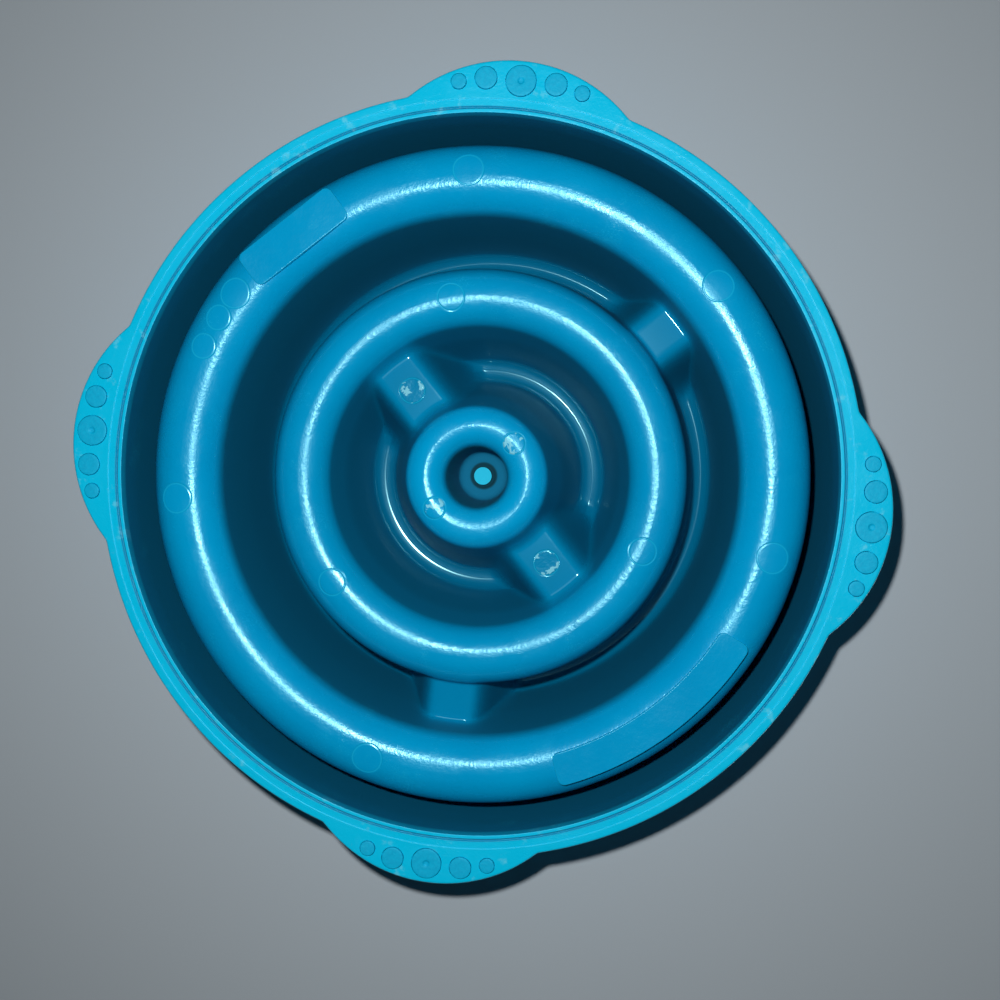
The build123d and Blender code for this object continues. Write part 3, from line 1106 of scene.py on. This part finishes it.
        # The well radius bounds the painted shade on the post's roof.
        well, blend = self.well_radius, self.well_blend
        near_axis = sheet.span(masks.radius, (well + blend) * MM, (well - blend) * MM)
        colour = sheet.blend(sheet.patches(masks.place, self.mottled), self.teal, self.deep_teal)
        layers = (
            # Painted shade in the hollows and on the upright walls.
            (sheet.most(masks.upright, masks.painted_depth_shade), self.painted_shade_teal),
            (masks.foot, self.foot_teal),
            # Painted shade in the lip's groove.
            (masks.groove, self.painted_groove_shade_teal),
            # Scuffs and scratches, and rubbed edges and outlines that are partly painted highlight lines.
            (sheet.most(handled, rubbed_and_glinting), self.scuff_colour),
            # Painted glints in torn discs, and foot smears that are partly painted sheen.
            (glints_and_smears, self.glint_and_smear_colour),
            # Painted shade in the post's well.
            (sheet.times(near_axis, masks.painted_depth_shade), self.painted_well_shade_teal),
            # The cut face: partly a rough cut, partly a painted highlight.
            (sheet.span(masks.wear, *self.cut_and_highlight_wear), self.cut_face_and_highlight_teal),
        )
        for mask, layer in layers:
            colour = sheet.blend(mask, colour, layer)
        return colour

    def roughness(self, sheet: NodeSheet, masks: ShellMasks, plan: BowlPlan) -> Socket:
        """Layers the roughness: polished to satin, glossier where sheltered, and dull on scuffs and walls.

        Args:
            sheet: Sheet to add to.
            masks: Masks of the finish.
            plan: Sizes of the bowl.

        Returns:
            The roughness.
        """
        satin = sheet.patches(masks.place, self.satin)
        post_foot = (plan.post_radius + plan.post_wall_run) * MM
        in_post = sheet.span(masks.radius, post_foot, plan.post_radius * MM)
        roughness = sheet.lerp(satin, self.polished_roughness, self.satin_roughness)
        layers = (
            (masks.sheltered, self.sheltered_roughness),
            (sheet.most(masks.scuff, sheet.times(masks.foot, self.foot_dullness)), self.scuffed_roughness),
            (masks.upright, self.hollow_roughness),
            (sheet.times(in_post, masks.sheltered), self.post_roughness),
        )
        for mask, layer in layers:
            roughness = sheet.lerp(mask, roughness, layer)
        return roughness

    def normal(self, sheet: NodeSheet, masks: ShellMasks) -> Socket:
        """Adds the fine relief, and turns the normal part of the way to straight down on the flatter marks.

        Args:
            sheet: Sheet to add to.
            masks: Masks of the finish.

        Returns:
            The normal.
        """
        streak_relief = sheet.times(sheet.times(masks.radius, self.streak_relief), masks.exposed)
        reliefs = (
            (masks.streak, streak_relief),
            (sheet.times(masks.tear, masks.discs[Mark.TORN]), self.tear_relief),
            (masks.scuff, self.scuff_relief),
            (masks.scratch, self.scratch_relief),
            (masks.outlines, self.outline_relief),
        )
        height = sheet.times(masks.grain, self.grain_relief)
        for mask, relief in reliefs:
            height = sheet.math("ADD", height, sheet.times(mask, relief))
        levelling = sheet.math(
            "ADD",
            sheet.times(masks.discs[Mark.FLAT], self.flat_levelling),
            sheet.times(masks.discs[Mark.CONTOURED], self.contoured_levelling),
        )
        levelled = sheet.mix("VECTOR", levelling, sheet.bump(height), STRAIGHT_DOWN)
        return sheet.vector("NORMALIZE", levelled).outputs[0]

    def material(self, effects: Effects, plan: BowlPlan) -> bpy.types.Material:
        """Builds the shell's material.

        Args:
            effects: Shared node groups.
            plan: Sizes of the bowl.

        Returns:
            The material.
        """
        material, sheet = material_sheet("shell_plastic")
        masks = self.masks(sheet, effects, plan)
        sheet.surface(
            {
                "Base Color": self.colour(sheet, masks),
                "Roughness": self.roughness(sheet, masks, plan),
                "Normal": self.normal(sheet, masks),
                "Specular IOR Level": self.specular,
                "Specular Tint": (*self.specular_tint, 1.0),
            }
        )
        return material


@dataclass(frozen=True)
class GripRubber:
    """Soft satin teal rubber with a fine moulded grain and a few scuffs on each face."""

    teal: Colour = (0.0, 0.46, 0.74)
    deep_teal: Colour = (0.0, 0.40, 0.67)
    scuff_colour: Colour = (0.04, 0.60, 0.84)
    scuff_share: float = 0.6
    grain_values: tuple[float, float] = (0.3, 0.7)
    grain_relief: float = 0.00012
    clean_roughness: float = 0.5
    scuffed_roughness: float = 0.72
    specular: float = 0.4
    specular_tint: Colour = (0.42, 0.94, 1.0)

    def material(self, effects: Effects) -> bpy.types.Material:
        """Builds the plugs' material.

        Args:
            effects: Shared node groups.

        Returns:
            The material.
        """
        material, sheet = material_sheet("grip_rubber")
        place = sheet.add("ShaderNodeTexCoord", {}).outputs["Object"]
        wear = sheet.add("ShaderNodeAttribute", {}, attribute_name="wear").outputs["Fac"]
        handling = sheet.add("ShaderNodeGroup", {"Vector": place, "Wear": wear}, node_tree=effects.worn)
        scuff, grain = handling.outputs["Scuff"], handling.outputs["Grain"]
        colour = sheet.blend(sheet.span(grain, *self.grain_values), self.teal, self.deep_teal)
        colour = sheet.blend(sheet.times(scuff, self.scuff_share), colour, self.scuff_colour)
        sheet.surface(
            {
                "Base Color": colour,
                "Roughness": sheet.lerp(scuff, self.clean_roughness, self.scuffed_roughness),
                "Normal": sheet.bump(sheet.times(grain, self.grain_relief)),
                "Specular IOR Level": self.specular,
                "Specular Tint": (*self.specular_tint, 1.0),
            }
        )
        return material


@dataclass(frozen=True)
class Panel:
    """A bare plate under the outer channel: its middle radius, size and azimuth, and whether it is bent."""

    middle: float
    width: float
    length: float
    azimuth: float
    bent: bool

    def points(self, flat: Array) -> Array:
        """Places points given along and across the panel.

        Formula: a straight panel runs square to its azimuth, and on a bent one the distance along is an
        angle about the bowl's axis.

        Args:
            flat: Distances along and across, in the last axis.

        Returns:
            Plan points of the same shape.
        """
        turn = math.radians(self.azimuth)
        along, reach = flat[..., 0], self.middle + flat[..., 1]
        if self.bent:
            angle = turn + along / self.middle
            return np.stack((reach * np.cos(angle), reach * np.sin(angle)), axis=-1)
        x = reach * math.cos(turn) - along * math.sin(turn)
        y = reach * math.sin(turn) + along * math.cos(turn)
        return np.stack((x, y), axis=-1)


@dataclass
class BowlShell:
    """The moulded shell: channels, ridges, rim, skirt, foot flange with plug holes, panels and gate."""

    plan: BowlPlan
    run_step: float = 4.5
    arc_step: float = 1.8
    coarse_columns: int = 160
    fine_step: float = 1.1
    fine_width: float = 24.0
    outline_count: int = 560
    hole_count: int = 32
    edge_rows: int = 5
    cove_rows: int = 5
    lip_corner_radius: float = 0.12
    lip_end_run: float = 0.5
    sharp_angle: float = 52.0
    rim_wear: float = 0.22
    ridge_wear: float = 0.12
    foot_wear: float = 0.16
    foot_wear_margin: float = 1.0
    # Wear on rounded edges, painted pale: partly wear, partly painted highlight lines.
    edge_wear_and_glint: float = 0.5
    panel_proud: float = 0.6
    panel_offset: float = 0.3
    panel_edge_radius: float = 0.35
    panel_step: float = 2.0
    panel_arc_step: float = 0.4
    panel_back_rows: int = 5
    panel_corner_radius: float = 2.5
    straight_panel_width: float = 13.6
    straight_panel_length: float = 41.0
    straight_panel_azimuth: float = 226.0
    curved_panel_width: float = 11.8
    curved_panel_arc: float = 43.0
    curved_panel_azimuth: float = 46.0
    gate_collar_radius: float = 4.4
    gate_collar_height: float = 1.2
    gate_stub_radius: float = 3.4
    gate_stub_height: float = 4.0
    gate_edge_radius: float = 0.15
    gate_inner_edge_radius: float = 0.075
    gate_run_step: float = 2.0
    gate_arc_step: float = 0.2

    def columns(self) -> Array:
        """Spaces the shell's grid round the axis, closer together at the notches.

        Returns:
            Azimuths in radians.
        """
        coarse = np.linspace(0, 360, self.coarse_columns, endpoint=False)
        near_notch = np.zeros(len(coarse), dtype=bool)
        windows = []
        for notch in self.plan.notches:
            half_angle = math.degrees(math.atan2(2 * self.fine_width, notch.start + notch.end))
            reach = self.fine_step * math.ceil(half_angle / self.fine_step)
            windows.append(notch.azimuth + np.arange(-reach, reach + self.fine_step / 2, self.fine_step))
            apart = np.abs((coarse - notch.azimuth + 180) % 360 - 180)
            near_notch |= apart < reach + self.fine_step
        return np.radians(np.unique(np.concatenate((coarse[~near_notch], *windows)) % 360))

    def underside(self, draft: Draft, columns: Array) -> Array:
        """Adds the underside from the axis to the lip beside the skirt.

        Formula: the section's rounded line turned about the axis, lowered to the grown notches' limit.

        Args:
            draft: Mesh being drafted.
            columns: Azimuths of the grid.

        Returns:
            The lip's last loop in plan.
        """
        plan = self.plan
        corners, radii = plan.under_corners()
        foot = plan.skirt_foot_radius
        lip_level = plan.tab_face + plan.lip_depth
        groove = foot + plan.lip_groove_offset
        half_groove = plan.lip_groove_width / 2
        lip_end = foot + plan.lip_width
        lip = np.array(
            (
                (foot, lip_level),
                (groove - half_groove, lip_level),
                (groove, lip_level + plan.lip_groove_depth),
                (groove + half_groove, lip_level),
                (lip_end, lip_level),
                (lip_end, plan.tab_face),
                (lip_end + self.lip_end_run, plan.tab_face),
            )
        )
        lip_radii = np.array([plan.lip_edge_radius] + [self.lip_corner_radius] * (len(lip) - 2))
        corners = np.vstack((corners[:-1], lip))
        line, _ = rounded_line(corners, np.concatenate((radii, lip_radii)), self.run_step, self.arc_step)
        grid = turned_surface(line[:, 0], line[:, 1], columns)
        limit = plan.notch_limit(grid[..., 0], grid[..., 1], plan.wall, plan.notch_rounding_below)
        grid[..., 2] = smooth_min(grid[..., 2], limit, plan.notch_rounding_below)
        beyond_skirt = np.hypot(grid[..., 0], grid[..., 1]) > foot - self.foot_wear_margin
        on_foot = (grid[..., 2] < plan.outer_channel_underside) & beyond_skirt
        draft.add_grid(grid, flip=True, wear=np.where(on_foot, self.foot_wear, 0.0), under=1.0)
        return grid[-1, :, :2]

    def feeding_side(self, draft: Draft, columns: Array) -> Array:
        """Adds the feeding side and the skirt's outside.

        Formula: the underside's line moved out by the wall along its normals, then a quarter circle for the
        cove, turned about the axis and lowered to the notches' limit.

        Args:
            draft: Mesh being drafted.
            columns: Azimuths of the grid.

        Returns:
            The cove's last loop in plan.
        """
        plan = self.plan
        corners, radii = plan.under_corners()
        line, normals = rounded_line(corners, radii, self.run_step, self.arc_step)
        line = line + plan.wall * normals
        cove_head = plan.tab_top + plan.flange_cove_radius
        on_skirt = line[:, 0] > plan.skirt_outer_radius(plan.rim_underside)
        line = line[~on_skirt | (line[:, 1] > cove_head + self.run_step / 2)]
        drop, spread = quarter_circle(plan.flange_cove_radius, self.cove_rows)
        cove = np.column_stack((plan.skirt_outer_radius(plan.tab_top) + spread, plan.tab_top + drop))
        line = np.vstack((line, cove))
        grid = turned_surface(line[:, 0], line[:, 1], columns)
        limit = plan.notch_limit(grid[..., 0], grid[..., 1], 0.0, plan.notch_rounding)
        grid[..., 2] = smooth_min(grid[..., 2], limit, plan.notch_rounding)
        level = grid[..., 2]
        on_ridge = (level > plan.ridge_underside) & (level < plan.rim_underside)
        rim_wear = np.where(level > plan.rim_underside, self.rim_wear, 0.0)
        draft.add_grid(grid, flip=False, wear=np.where(on_ridge, self.ridge_wear, rim_wear))
        return grid[-1, :, :2]

    def foot_flange(self, draft: Draft, lip_loop: Array, cove_loop: Array) -> None:
        """Adds the flange's faces, its rounded edge and the stepped plug holes.

        Formula: the edge is two quarter circles carried along the outline, measured in from it along its
        normals, and each hole is a stepped profile turned about the plug's own axis.

        Args:
            draft: Mesh being drafted.
            lip_loop: Inner outline of the lower face.
            cove_loop: Inner outline of the upper face.
        """
        plan = self.plan
        outline, normals = plan.flange_outline(self.outline_count)
        inset, rise = quarter_circle(plan.flange_edge_radius, self.edge_rows)
        insets = np.concatenate((inset, inset[::-1]))
        levels = np.concatenate((plan.tab_face + rise, plan.tab_top - rise[::-1]))
        rings = outline[None] - insets[:, None, None] * normals[None]
        height = np.broadcast_to(levels[:, None, None], (*rings.shape[:2], 1))
        row_wear = self.edge_wear_and_glint * (1 - insets / plan.flange_edge_radius) + self.foot_wear
        wear = np.repeat(row_wear, self.outline_count)
        draft.add_grid(np.concatenate((rings, height), axis=2), flip=True, wear=wear, under=1.0)
        around = full_turn(self.hole_count)
        lower, upper = [rings[0], lip_loop], [rings[-1], cove_loop]
        heights = np.array((plan.tab_face, *np.repeat(plan.plug_levels, 2), plan.tab_top))
        for _, kind, centre in plan.plug_places():
            hole = turned_surface(np.repeat(plan.plug_radii(kind) + plan.plug_gap, 2), heights, around)
            hole[..., :2] += centre
            draft.add_grid(hole, flip=False)
            lower.append(hole[0, :, :2])
            upper.append(hole[-1, :, :2])
        draft.add_flat(lower, plan.tab_face, down=True, wear=self.foot_wear, under=1.0)
        draft.add_flat(upper, plan.tab_top, down=False)

    def panel(self, draft: Draft, panel: Panel) -> None:
        """Adds a bare raised plate under the outer channel.

        Formula: a rounded rectangle along and across the channel, with a quarter circle carried round its
        edge, a straight side that ends inside the wall, and a back that follows the underside and closes on
        the middle.

        Args:
            draft: Mesh being drafted.
            panel: Place and size of the plate.
        """
        plan = self.plan
        half_along, half_across = panel.length / 2, panel.width / 2
        corners = np.array(
            (
                (half_along, 0.0),
                (half_along, -half_across),
                (-half_along, -half_across),
                (-half_along, half_across),
                (half_along, half_across),
                (half_along, 0.0),
            )
        )
        radii = np.full(len(corners) - 2, self.panel_corner_radius)
        closed_edge, _ = rounded_line(corners, radii, self.panel_step, self.panel_arc_step)
        edge = closed_edge[:-1]
        insets, rises = quarter_circle(self.panel_edge_radius, self.edge_rows)
        face = plan.outer_channel_underside - self.panel_proud
        rims = panel.points(edge[None] + insets[:, None, None] * right_normals(edge)[None])
        closing = np.linspace((1.0, 1.0), (1.0, 0.0), self.panel_back_rows)
        back = panel.points(edge[None] * closing[:, None])
        line, _ = rounded_line(*plan.under_corners(), self.run_step, self.arc_step)
        back_levels = np.interp(np.linalg.norm(back, axis=2), line[:, 0], line[:, 1]) + plan.wall / 2
        levels = np.vstack((np.broadcast_to((face + rises)[:, None], rims.shape[:2]), back_levels))
        grid = np.concatenate((np.concatenate((rims, back)), levels[..., None]), axis=2)
        # Edge rows painted pale: partly rubbed wear, partly the edge's painted highlight line.
        rubbed_and_glinting = (insets > 0) & (insets < self.panel_edge_radius)
        row_wear = np.concatenate((np.where(rubbed_and_glinting, self.edge_wear_and_glint, 0.0), np.zeros(len(back))))
        draft.add_grid(grid, flip=True, wear=np.repeat(row_wear, len(edge)))
        draft.add_flat([rims[0]], face, down=True)

    def panels(self) -> tuple[Panel, Panel]:
        """Places the panels, whose outer edges have the same radius.

        Returns:
            The straight panel and the curved one.
        """
        straight_middle = self.plan.channel_middles[2] + self.panel_offset
        straight = Panel(
            straight_middle,
            self.straight_panel_width,
            self.straight_panel_length,
            self.straight_panel_azimuth,
            bent=False,
        )
        curved_middle = straight_middle + (self.straight_panel_width - self.curved_panel_width) / 2
        curved_length = math.radians(self.curved_panel_arc) * curved_middle
        curved = Panel(
            curved_middle, self.curved_panel_width, curved_length, self.curved_panel_azimuth, bent=True
        )
        return straight, curved

    def gate(self, draft: Draft) -> None:
        """Adds the moulding gate's collar and stub inside the post.

        Formula: a stepped profile with rounded edges, turned about the axis.

        Args:
            draft: Mesh being drafted.
        """
        roof = self.plan.post_underside
        corners = np.array(
            (
                (0.0, roof - self.gate_stub_height),
                (self.gate_stub_radius, roof - self.gate_stub_height),
                (self.gate_stub_radius, roof - self.gate_collar_height),
                (self.gate_collar_radius, roof - self.gate_collar_height),
                (self.gate_collar_radius, roof + self.plan.wall / 2),
            )
        )
        radii = np.array((self.gate_edge_radius, self.gate_inner_edge_radius, self.gate_edge_radius))
        line, _ = rounded_line(corners, radii, self.gate_run_step, self.gate_arc_step)
        grid = turned_surface(line[:, 0], line[:, 1], full_turn(self.hole_count))
        # The cut face gets full wear, painted pale: partly a rough cut, partly a painted highlight.
        cut_and_highlight_rows = line[:, 1] < roof - self.gate_stub_height + self.gate_edge_radius
        wear = np.repeat(np.where(cut_and_highlight_rows, 1.0, 0.0), self.hole_count)
        draft.add_grid(grid, flip=True, wear=wear, under=1.0)
        draft.add_flat([grid[-1, :, :2]], float(line[-1, 1]), down=False)

    def build(self) -> bpy.types.Object:
        """Builds the shell's mesh.

        Returns:
            The shell's object.
        """
        draft = Draft()
        columns = self.columns()
        lip_loop = self.underside(draft, columns)
        cove_loop = self.feeding_side(draft, columns)
        self.foot_flange(draft, lip_loop, cove_loop)
        for panel in self.panels():
            self.panel(draft, panel)
        self.gate(draft)
        piece = draft.make("moulded_shell", self.sharp_angle)
        even_normals = piece.modifiers.new("even_normals", "WEIGHTED_NORMAL")
        even_normals.keep_sharp = True
        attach(piece, "root")
        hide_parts("bowl_shell")
        return piece

    def dress(self, piece: bpy.types.Object, effects: Effects) -> None:
        """Gives the shell its plastic."""
        piece.data.materials.append(ShellPlastic().material(effects, self.plan))


@dataclass
class GripPlugs:
    """The soft plugs that fill the stepped holes in the tabs."""

    plan: BowlPlan
    edge_radius: float = 0.3
    step_edge_radius: float = 0.1
    dimple_edge_radius: float = 0.15
    side_gap: float = 0.14
    dimple_radius: float = 1.3
    dimple_depth: float = 0.5
    run_step: float = 1.2
    arc_step: float = 0.12
    column_count: int = 40
    sharp_angle: float = 50.0
    face_wear: float = 0.14

    def profile(self, kind: PlugKind) -> Array:
        """Draws a plug's profile.

        Formula: straight runs over face, head, neck and top pad, with rounded edges, and a shallow cone in
        the middle of the large plug's face.

        Args:
            kind: Size of the plug.

        Returns:
            Points from the middle of its face round to the middle of its top.
        """
        plan = self.plan
        head, neck, top = plan.plug_radii(kind)
        face = head - self.side_gap
        head_level, top_level = plan.plug_levels
        end_level = plan.tab_top + plan.plug_top_proud
        corners = [(face, 0.0), (face, head_level), (neck, head_level), (neck, top_level)]
        corners += [(top, top_level), (top, end_level), (0.0, end_level)]
        radii = [self.edge_radius] + [self.step_edge_radius] * 4 + [self.edge_radius]
        start = [(0.0, 0.0)]
        if kind is PlugKind.LARGE:
            depth, radius = self.dimple_depth, self.dimple_radius
            start = [(0.0, depth), (radius / 2, depth), (radius, 0.0)]
            radii = [self.step_edge_radius, self.dimple_edge_radius] + radii
        line, _ = rounded_line(np.array(start + corners), np.array(radii), self.run_step, self.arc_step)
        return line

    def build(self) -> list[bpy.types.Object]:
        """Builds all plugs as profiles turned about their own axes.

        Returns:
            The plugs' objects.
        """
        pieces = []
        around = full_turn(self.column_count)
        for name, kind, centre in self.plan.plug_places():
            line = self.profile(kind)
            grid = turned_surface(line[:, 0], line[:, 1], around)
            grid[..., :2] += centre
            draft = Draft()
            draft.add_grid(grid, flip=True, wear=self.face_wear, under=1.0)
            piece = draft.make(f"{name}_soft", self.sharp_angle)
            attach(piece, "root")
            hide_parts(name)
            pieces.append(piece)
        return pieces

    def dress(self, pieces: list[bpy.types.Object], effects: Effects) -> None:
        """Gives every plug the same rubber.

        Args:
            pieces: The plugs' objects.
            effects: Shared node groups.
        """
        rubber = GripRubber().material(effects)
        for piece in pieces:
            piece.data.materials.append(rubber)


@dataclass(frozen=True)
class StagePaint:
    """Plain pale paint on a one-sided plane that only the camera sees, from the plane's front.

    It is clear where the camera looks along it past the grazing limit, from 0 for square to 1 for edge-on.
    It fades into the pale surroundings between two distances from the origin.
    """

    colour: Colour
    grazing_limit: float
    fade_start: float
    fade_end: float

    def material(self, name: str) -> bpy.types.Material:
        """Builds the paint: pale and matt for camera rays from the front, and clear for every other ray.

        Args:
            name: Material name.

        Returns:
            The material.
        """
        material, sheet = material_sheet(name)
        paint = sheet.add("ShaderNodeBsdfDiffuse", {"Color": (*self.colour, 1.0)})
        clear = sheet.add("ShaderNodeBsdfTransparent", {})
        camera_ray = sheet.add("ShaderNodeLightPath", {}).outputs["Is Camera Ray"]
        behind = sheet.add("ShaderNodeNewGeometry", {}).outputs["Backfacing"]
        grazing = sheet.add("ShaderNodeLayerWeight", {}).outputs["Facing"]
        in_front = sheet.math("SUBTRACT", camera_ray, behind, clamp=True)
        seen = sheet.times(in_front, sheet.math("LESS_THAN", grazing, self.grazing_limit))
        distance = sheet.length(sheet.add("ShaderNodeTexCoord", {}).outputs["Object"])
        shown = sheet.times(seen, sheet.span(distance, self.fade_end, self.fade_start))
        mixed = sheet.add("ShaderNodeMixShader", {0: shown, 1: clear.outputs[0], 2: paint.outputs[0]})
        sheet.add("ShaderNodeOutputMaterial", {"Surface": mixed.outputs[0]})
        return material


@dataclass
class Stage:
    """Floor below the standing bowl, and the table top that its rim lies on when it is seen from below."""

    plan: BowlPlan
    half_width: float = 3.0
    clearance: float = 0.0004
    floor_paint: StagePaint = StagePaint(
        (0.78, 0.78, 0.78), grazing_limit=1.1, fade_start=0.4, fade_end=2.4
    )
    table_paint: StagePaint = StagePaint(
        (0.46, 0.52, 0.56), grazing_limit=0.75, fade_start=0.36, fade_end=0.9
    )

    def plane(self, name: str, height: float, faces_up: bool, paint: bpy.types.Material) -> None:
        """Adds one square plane to the stage.

        Args:
            name: Object name.
            height: Height of the plane in metres.
            faces_up: Whether its front looks up.
            paint: Its material.
        """
        corners = np.array(((-1, -1), (1, -1), (1, 1), (-1, 1))) * self.half_width
        points = np.column_stack((corners, np.full(len(corners), height)))
        order = (0, 1, 2, 3) if faces_up else (3, 2, 1, 0)
        mesh = bpy.data.meshes.new(name)
        mesh.from_pydata(points.tolist(), [], [order])
        mesh.materials.append(paint)
        plane = bpy.data.objects.new(name, mesh)
        bpy.context.scene.collection.objects.link(plane)

    def build(self) -> None:
        """Adds the floor and the table top."""
        self.plane("floor", -self.clearance, True, self.floor_paint.material("floor_paint"))
        table_height = self.plan.height * MM + self.clearance
        self.plane("table_top", table_height, False, self.table_paint.material("table_paint"))


@dataclass(frozen=True)
class Lamp:
    """A round area lamp: its place, diameter and aim in metres, and its power."""

    name: str
    place: tuple[float, float, float]
    diameter: float
    power: float
    aim: tuple[float, float, float] = (0.0, 0.0, 0.02)

    def build(self) -> None:
        """Adds the lamp, turned to its aim."""
        light = bpy.data.lights.new(self.name, "AREA")
        light.shape = "DISK"
        light.size = self.diameter
        light.energy = self.power
        lamp = bpy.data.objects.new(self.name, light)
        lamp.location = self.place
        lamp.rotation_euler = (Vector(self.aim) - Vector(self.place)).to_track_quat("-Z", "Y").to_euler()
        bpy.context.scene.collection.objects.link(lamp)


@dataclass
class Studio:
    """Lamps below and above the bowl, and the surrounding light."""

    lamps: tuple[Lamp, ...] = (
        Lamp("key_below", (0.009, -0.045, -0.428), diameter=0.014, power=1.85),
        Lamp("fill_below", (0.5, 0.4, -1.2), diameter=1.0, power=0.04, aim=(0.0, 0.0, 0.0)),
        Lamp("key_above", (-0.8, -1.0, 2.6), diameter=0.4, power=36.0),
        Lamp("fill_above", (1.2, 0.7, 2.2), diameter=1.2, power=14.0),
    )
    sky_colour: Colour = (0.80, 0.82, 0.84)
    sky_level_below: float = 0.006
    sky_level_above: float = 0.30
    sky_level_seen: float = 1.0
    horizon_blend: float = 0.3

    def build(self) -> None:
        """Adds the lamps, and a world that is pale to the camera, soft from above and dim from below."""
        for lamp in self.lamps:
            lamp.build()
        world = bpy.data.worlds.new("studio")
        bpy.context.scene.world = world
        world.use_nodes = True
        sheet = NodeSheet(world.node_tree)
        camera_ray = sheet.add("ShaderNodeLightPath", {}).outputs["Is Camera Ray"]
        direction = sheet.add("ShaderNodeTexCoord", {}).outputs["Generated"]
        upward = sheet.add("ShaderNodeSeparateXYZ", {0: direction}).outputs["Z"]
        overhead = sheet.span(upward, 0.0, self.horizon_blend)
        skylight = sheet.lerp(overhead, self.sky_level_below, self.sky_level_above)
        strength = sheet.lerp(camera_ray, skylight, self.sky_level_seen)
        sky = sheet.add("ShaderNodeBackground", {"Color": (*self.sky_colour, 1.0), "Strength": strength})
        sheet.add("ShaderNodeOutputWorld", {"Surface": sky.outputs[0]})
        bpy.context.scene.view_settings.view_transform = "Standard"


@dataclass
class PhotoCamera:
    """Camera at the photograph's viewing angle, looking up at the underside."""

    place: tuple[float, float, float] = (0.04088, -0.01269, -0.42461)
    image_right: tuple[float, float, float] = (0.98966, -0.12136, 0.0765)
    image_down: tuple[float, float, float] = (0.12438, 0.99158, -0.03595)
    sensor_width: float = 36.0
    lens: float = 43.92
    clip_start: float = 0.01
    clip_end: float = 20.0

    def build(self) -> None:
        """Adds the camera and makes it the scene's."""
        data = bpy.data.cameras.new("photo_camera")
        data.sensor_width = self.sensor_width
        data.lens = self.lens
        data.clip_start = self.clip_start
        data.clip_end = self.clip_end
        camera = bpy.data.objects.new("photo_camera", data)
        right = Vector(self.image_right).normalized()
        up = -Vector(self.image_down)
        back = right.cross(up).normalized()
        turn = Matrix((right, back.cross(right), back)).transposed().to_4x4()
        camera.matrix_world = Matrix.Translation(self.place) @ turn
        bpy.context.scene.collection.objects.link(camera)
        bpy.context.scene.camera = camera


def main() -> None:
    """Builds the bowl's pieces in order, then the stage, the lights and the camera."""
    logging.basicConfig(level=logging.INFO, format="%(name)s: %(message)s")
    plan = BowlPlan()
    effects = Effects(WornMoulding().group(), RadialStreaks().group(), RoundMarkEffect().group())
    shell = BowlShell(plan)
    shell_piece = shell.build()
    shell.dress(shell_piece, effects)
    plugs = GripPlugs(plan)
    plug_pieces = plugs.build()
    plugs.dress(plug_pieces, effects)
    for piece in (shell_piece, *plug_pieces):
        LOG.info("%s: %d faces", piece.name, len(piece.data.polygons))
    Stage(plan).build()
    Studio().build()
    PhotoCamera().build()


if __name__ == "__main__":
    main()
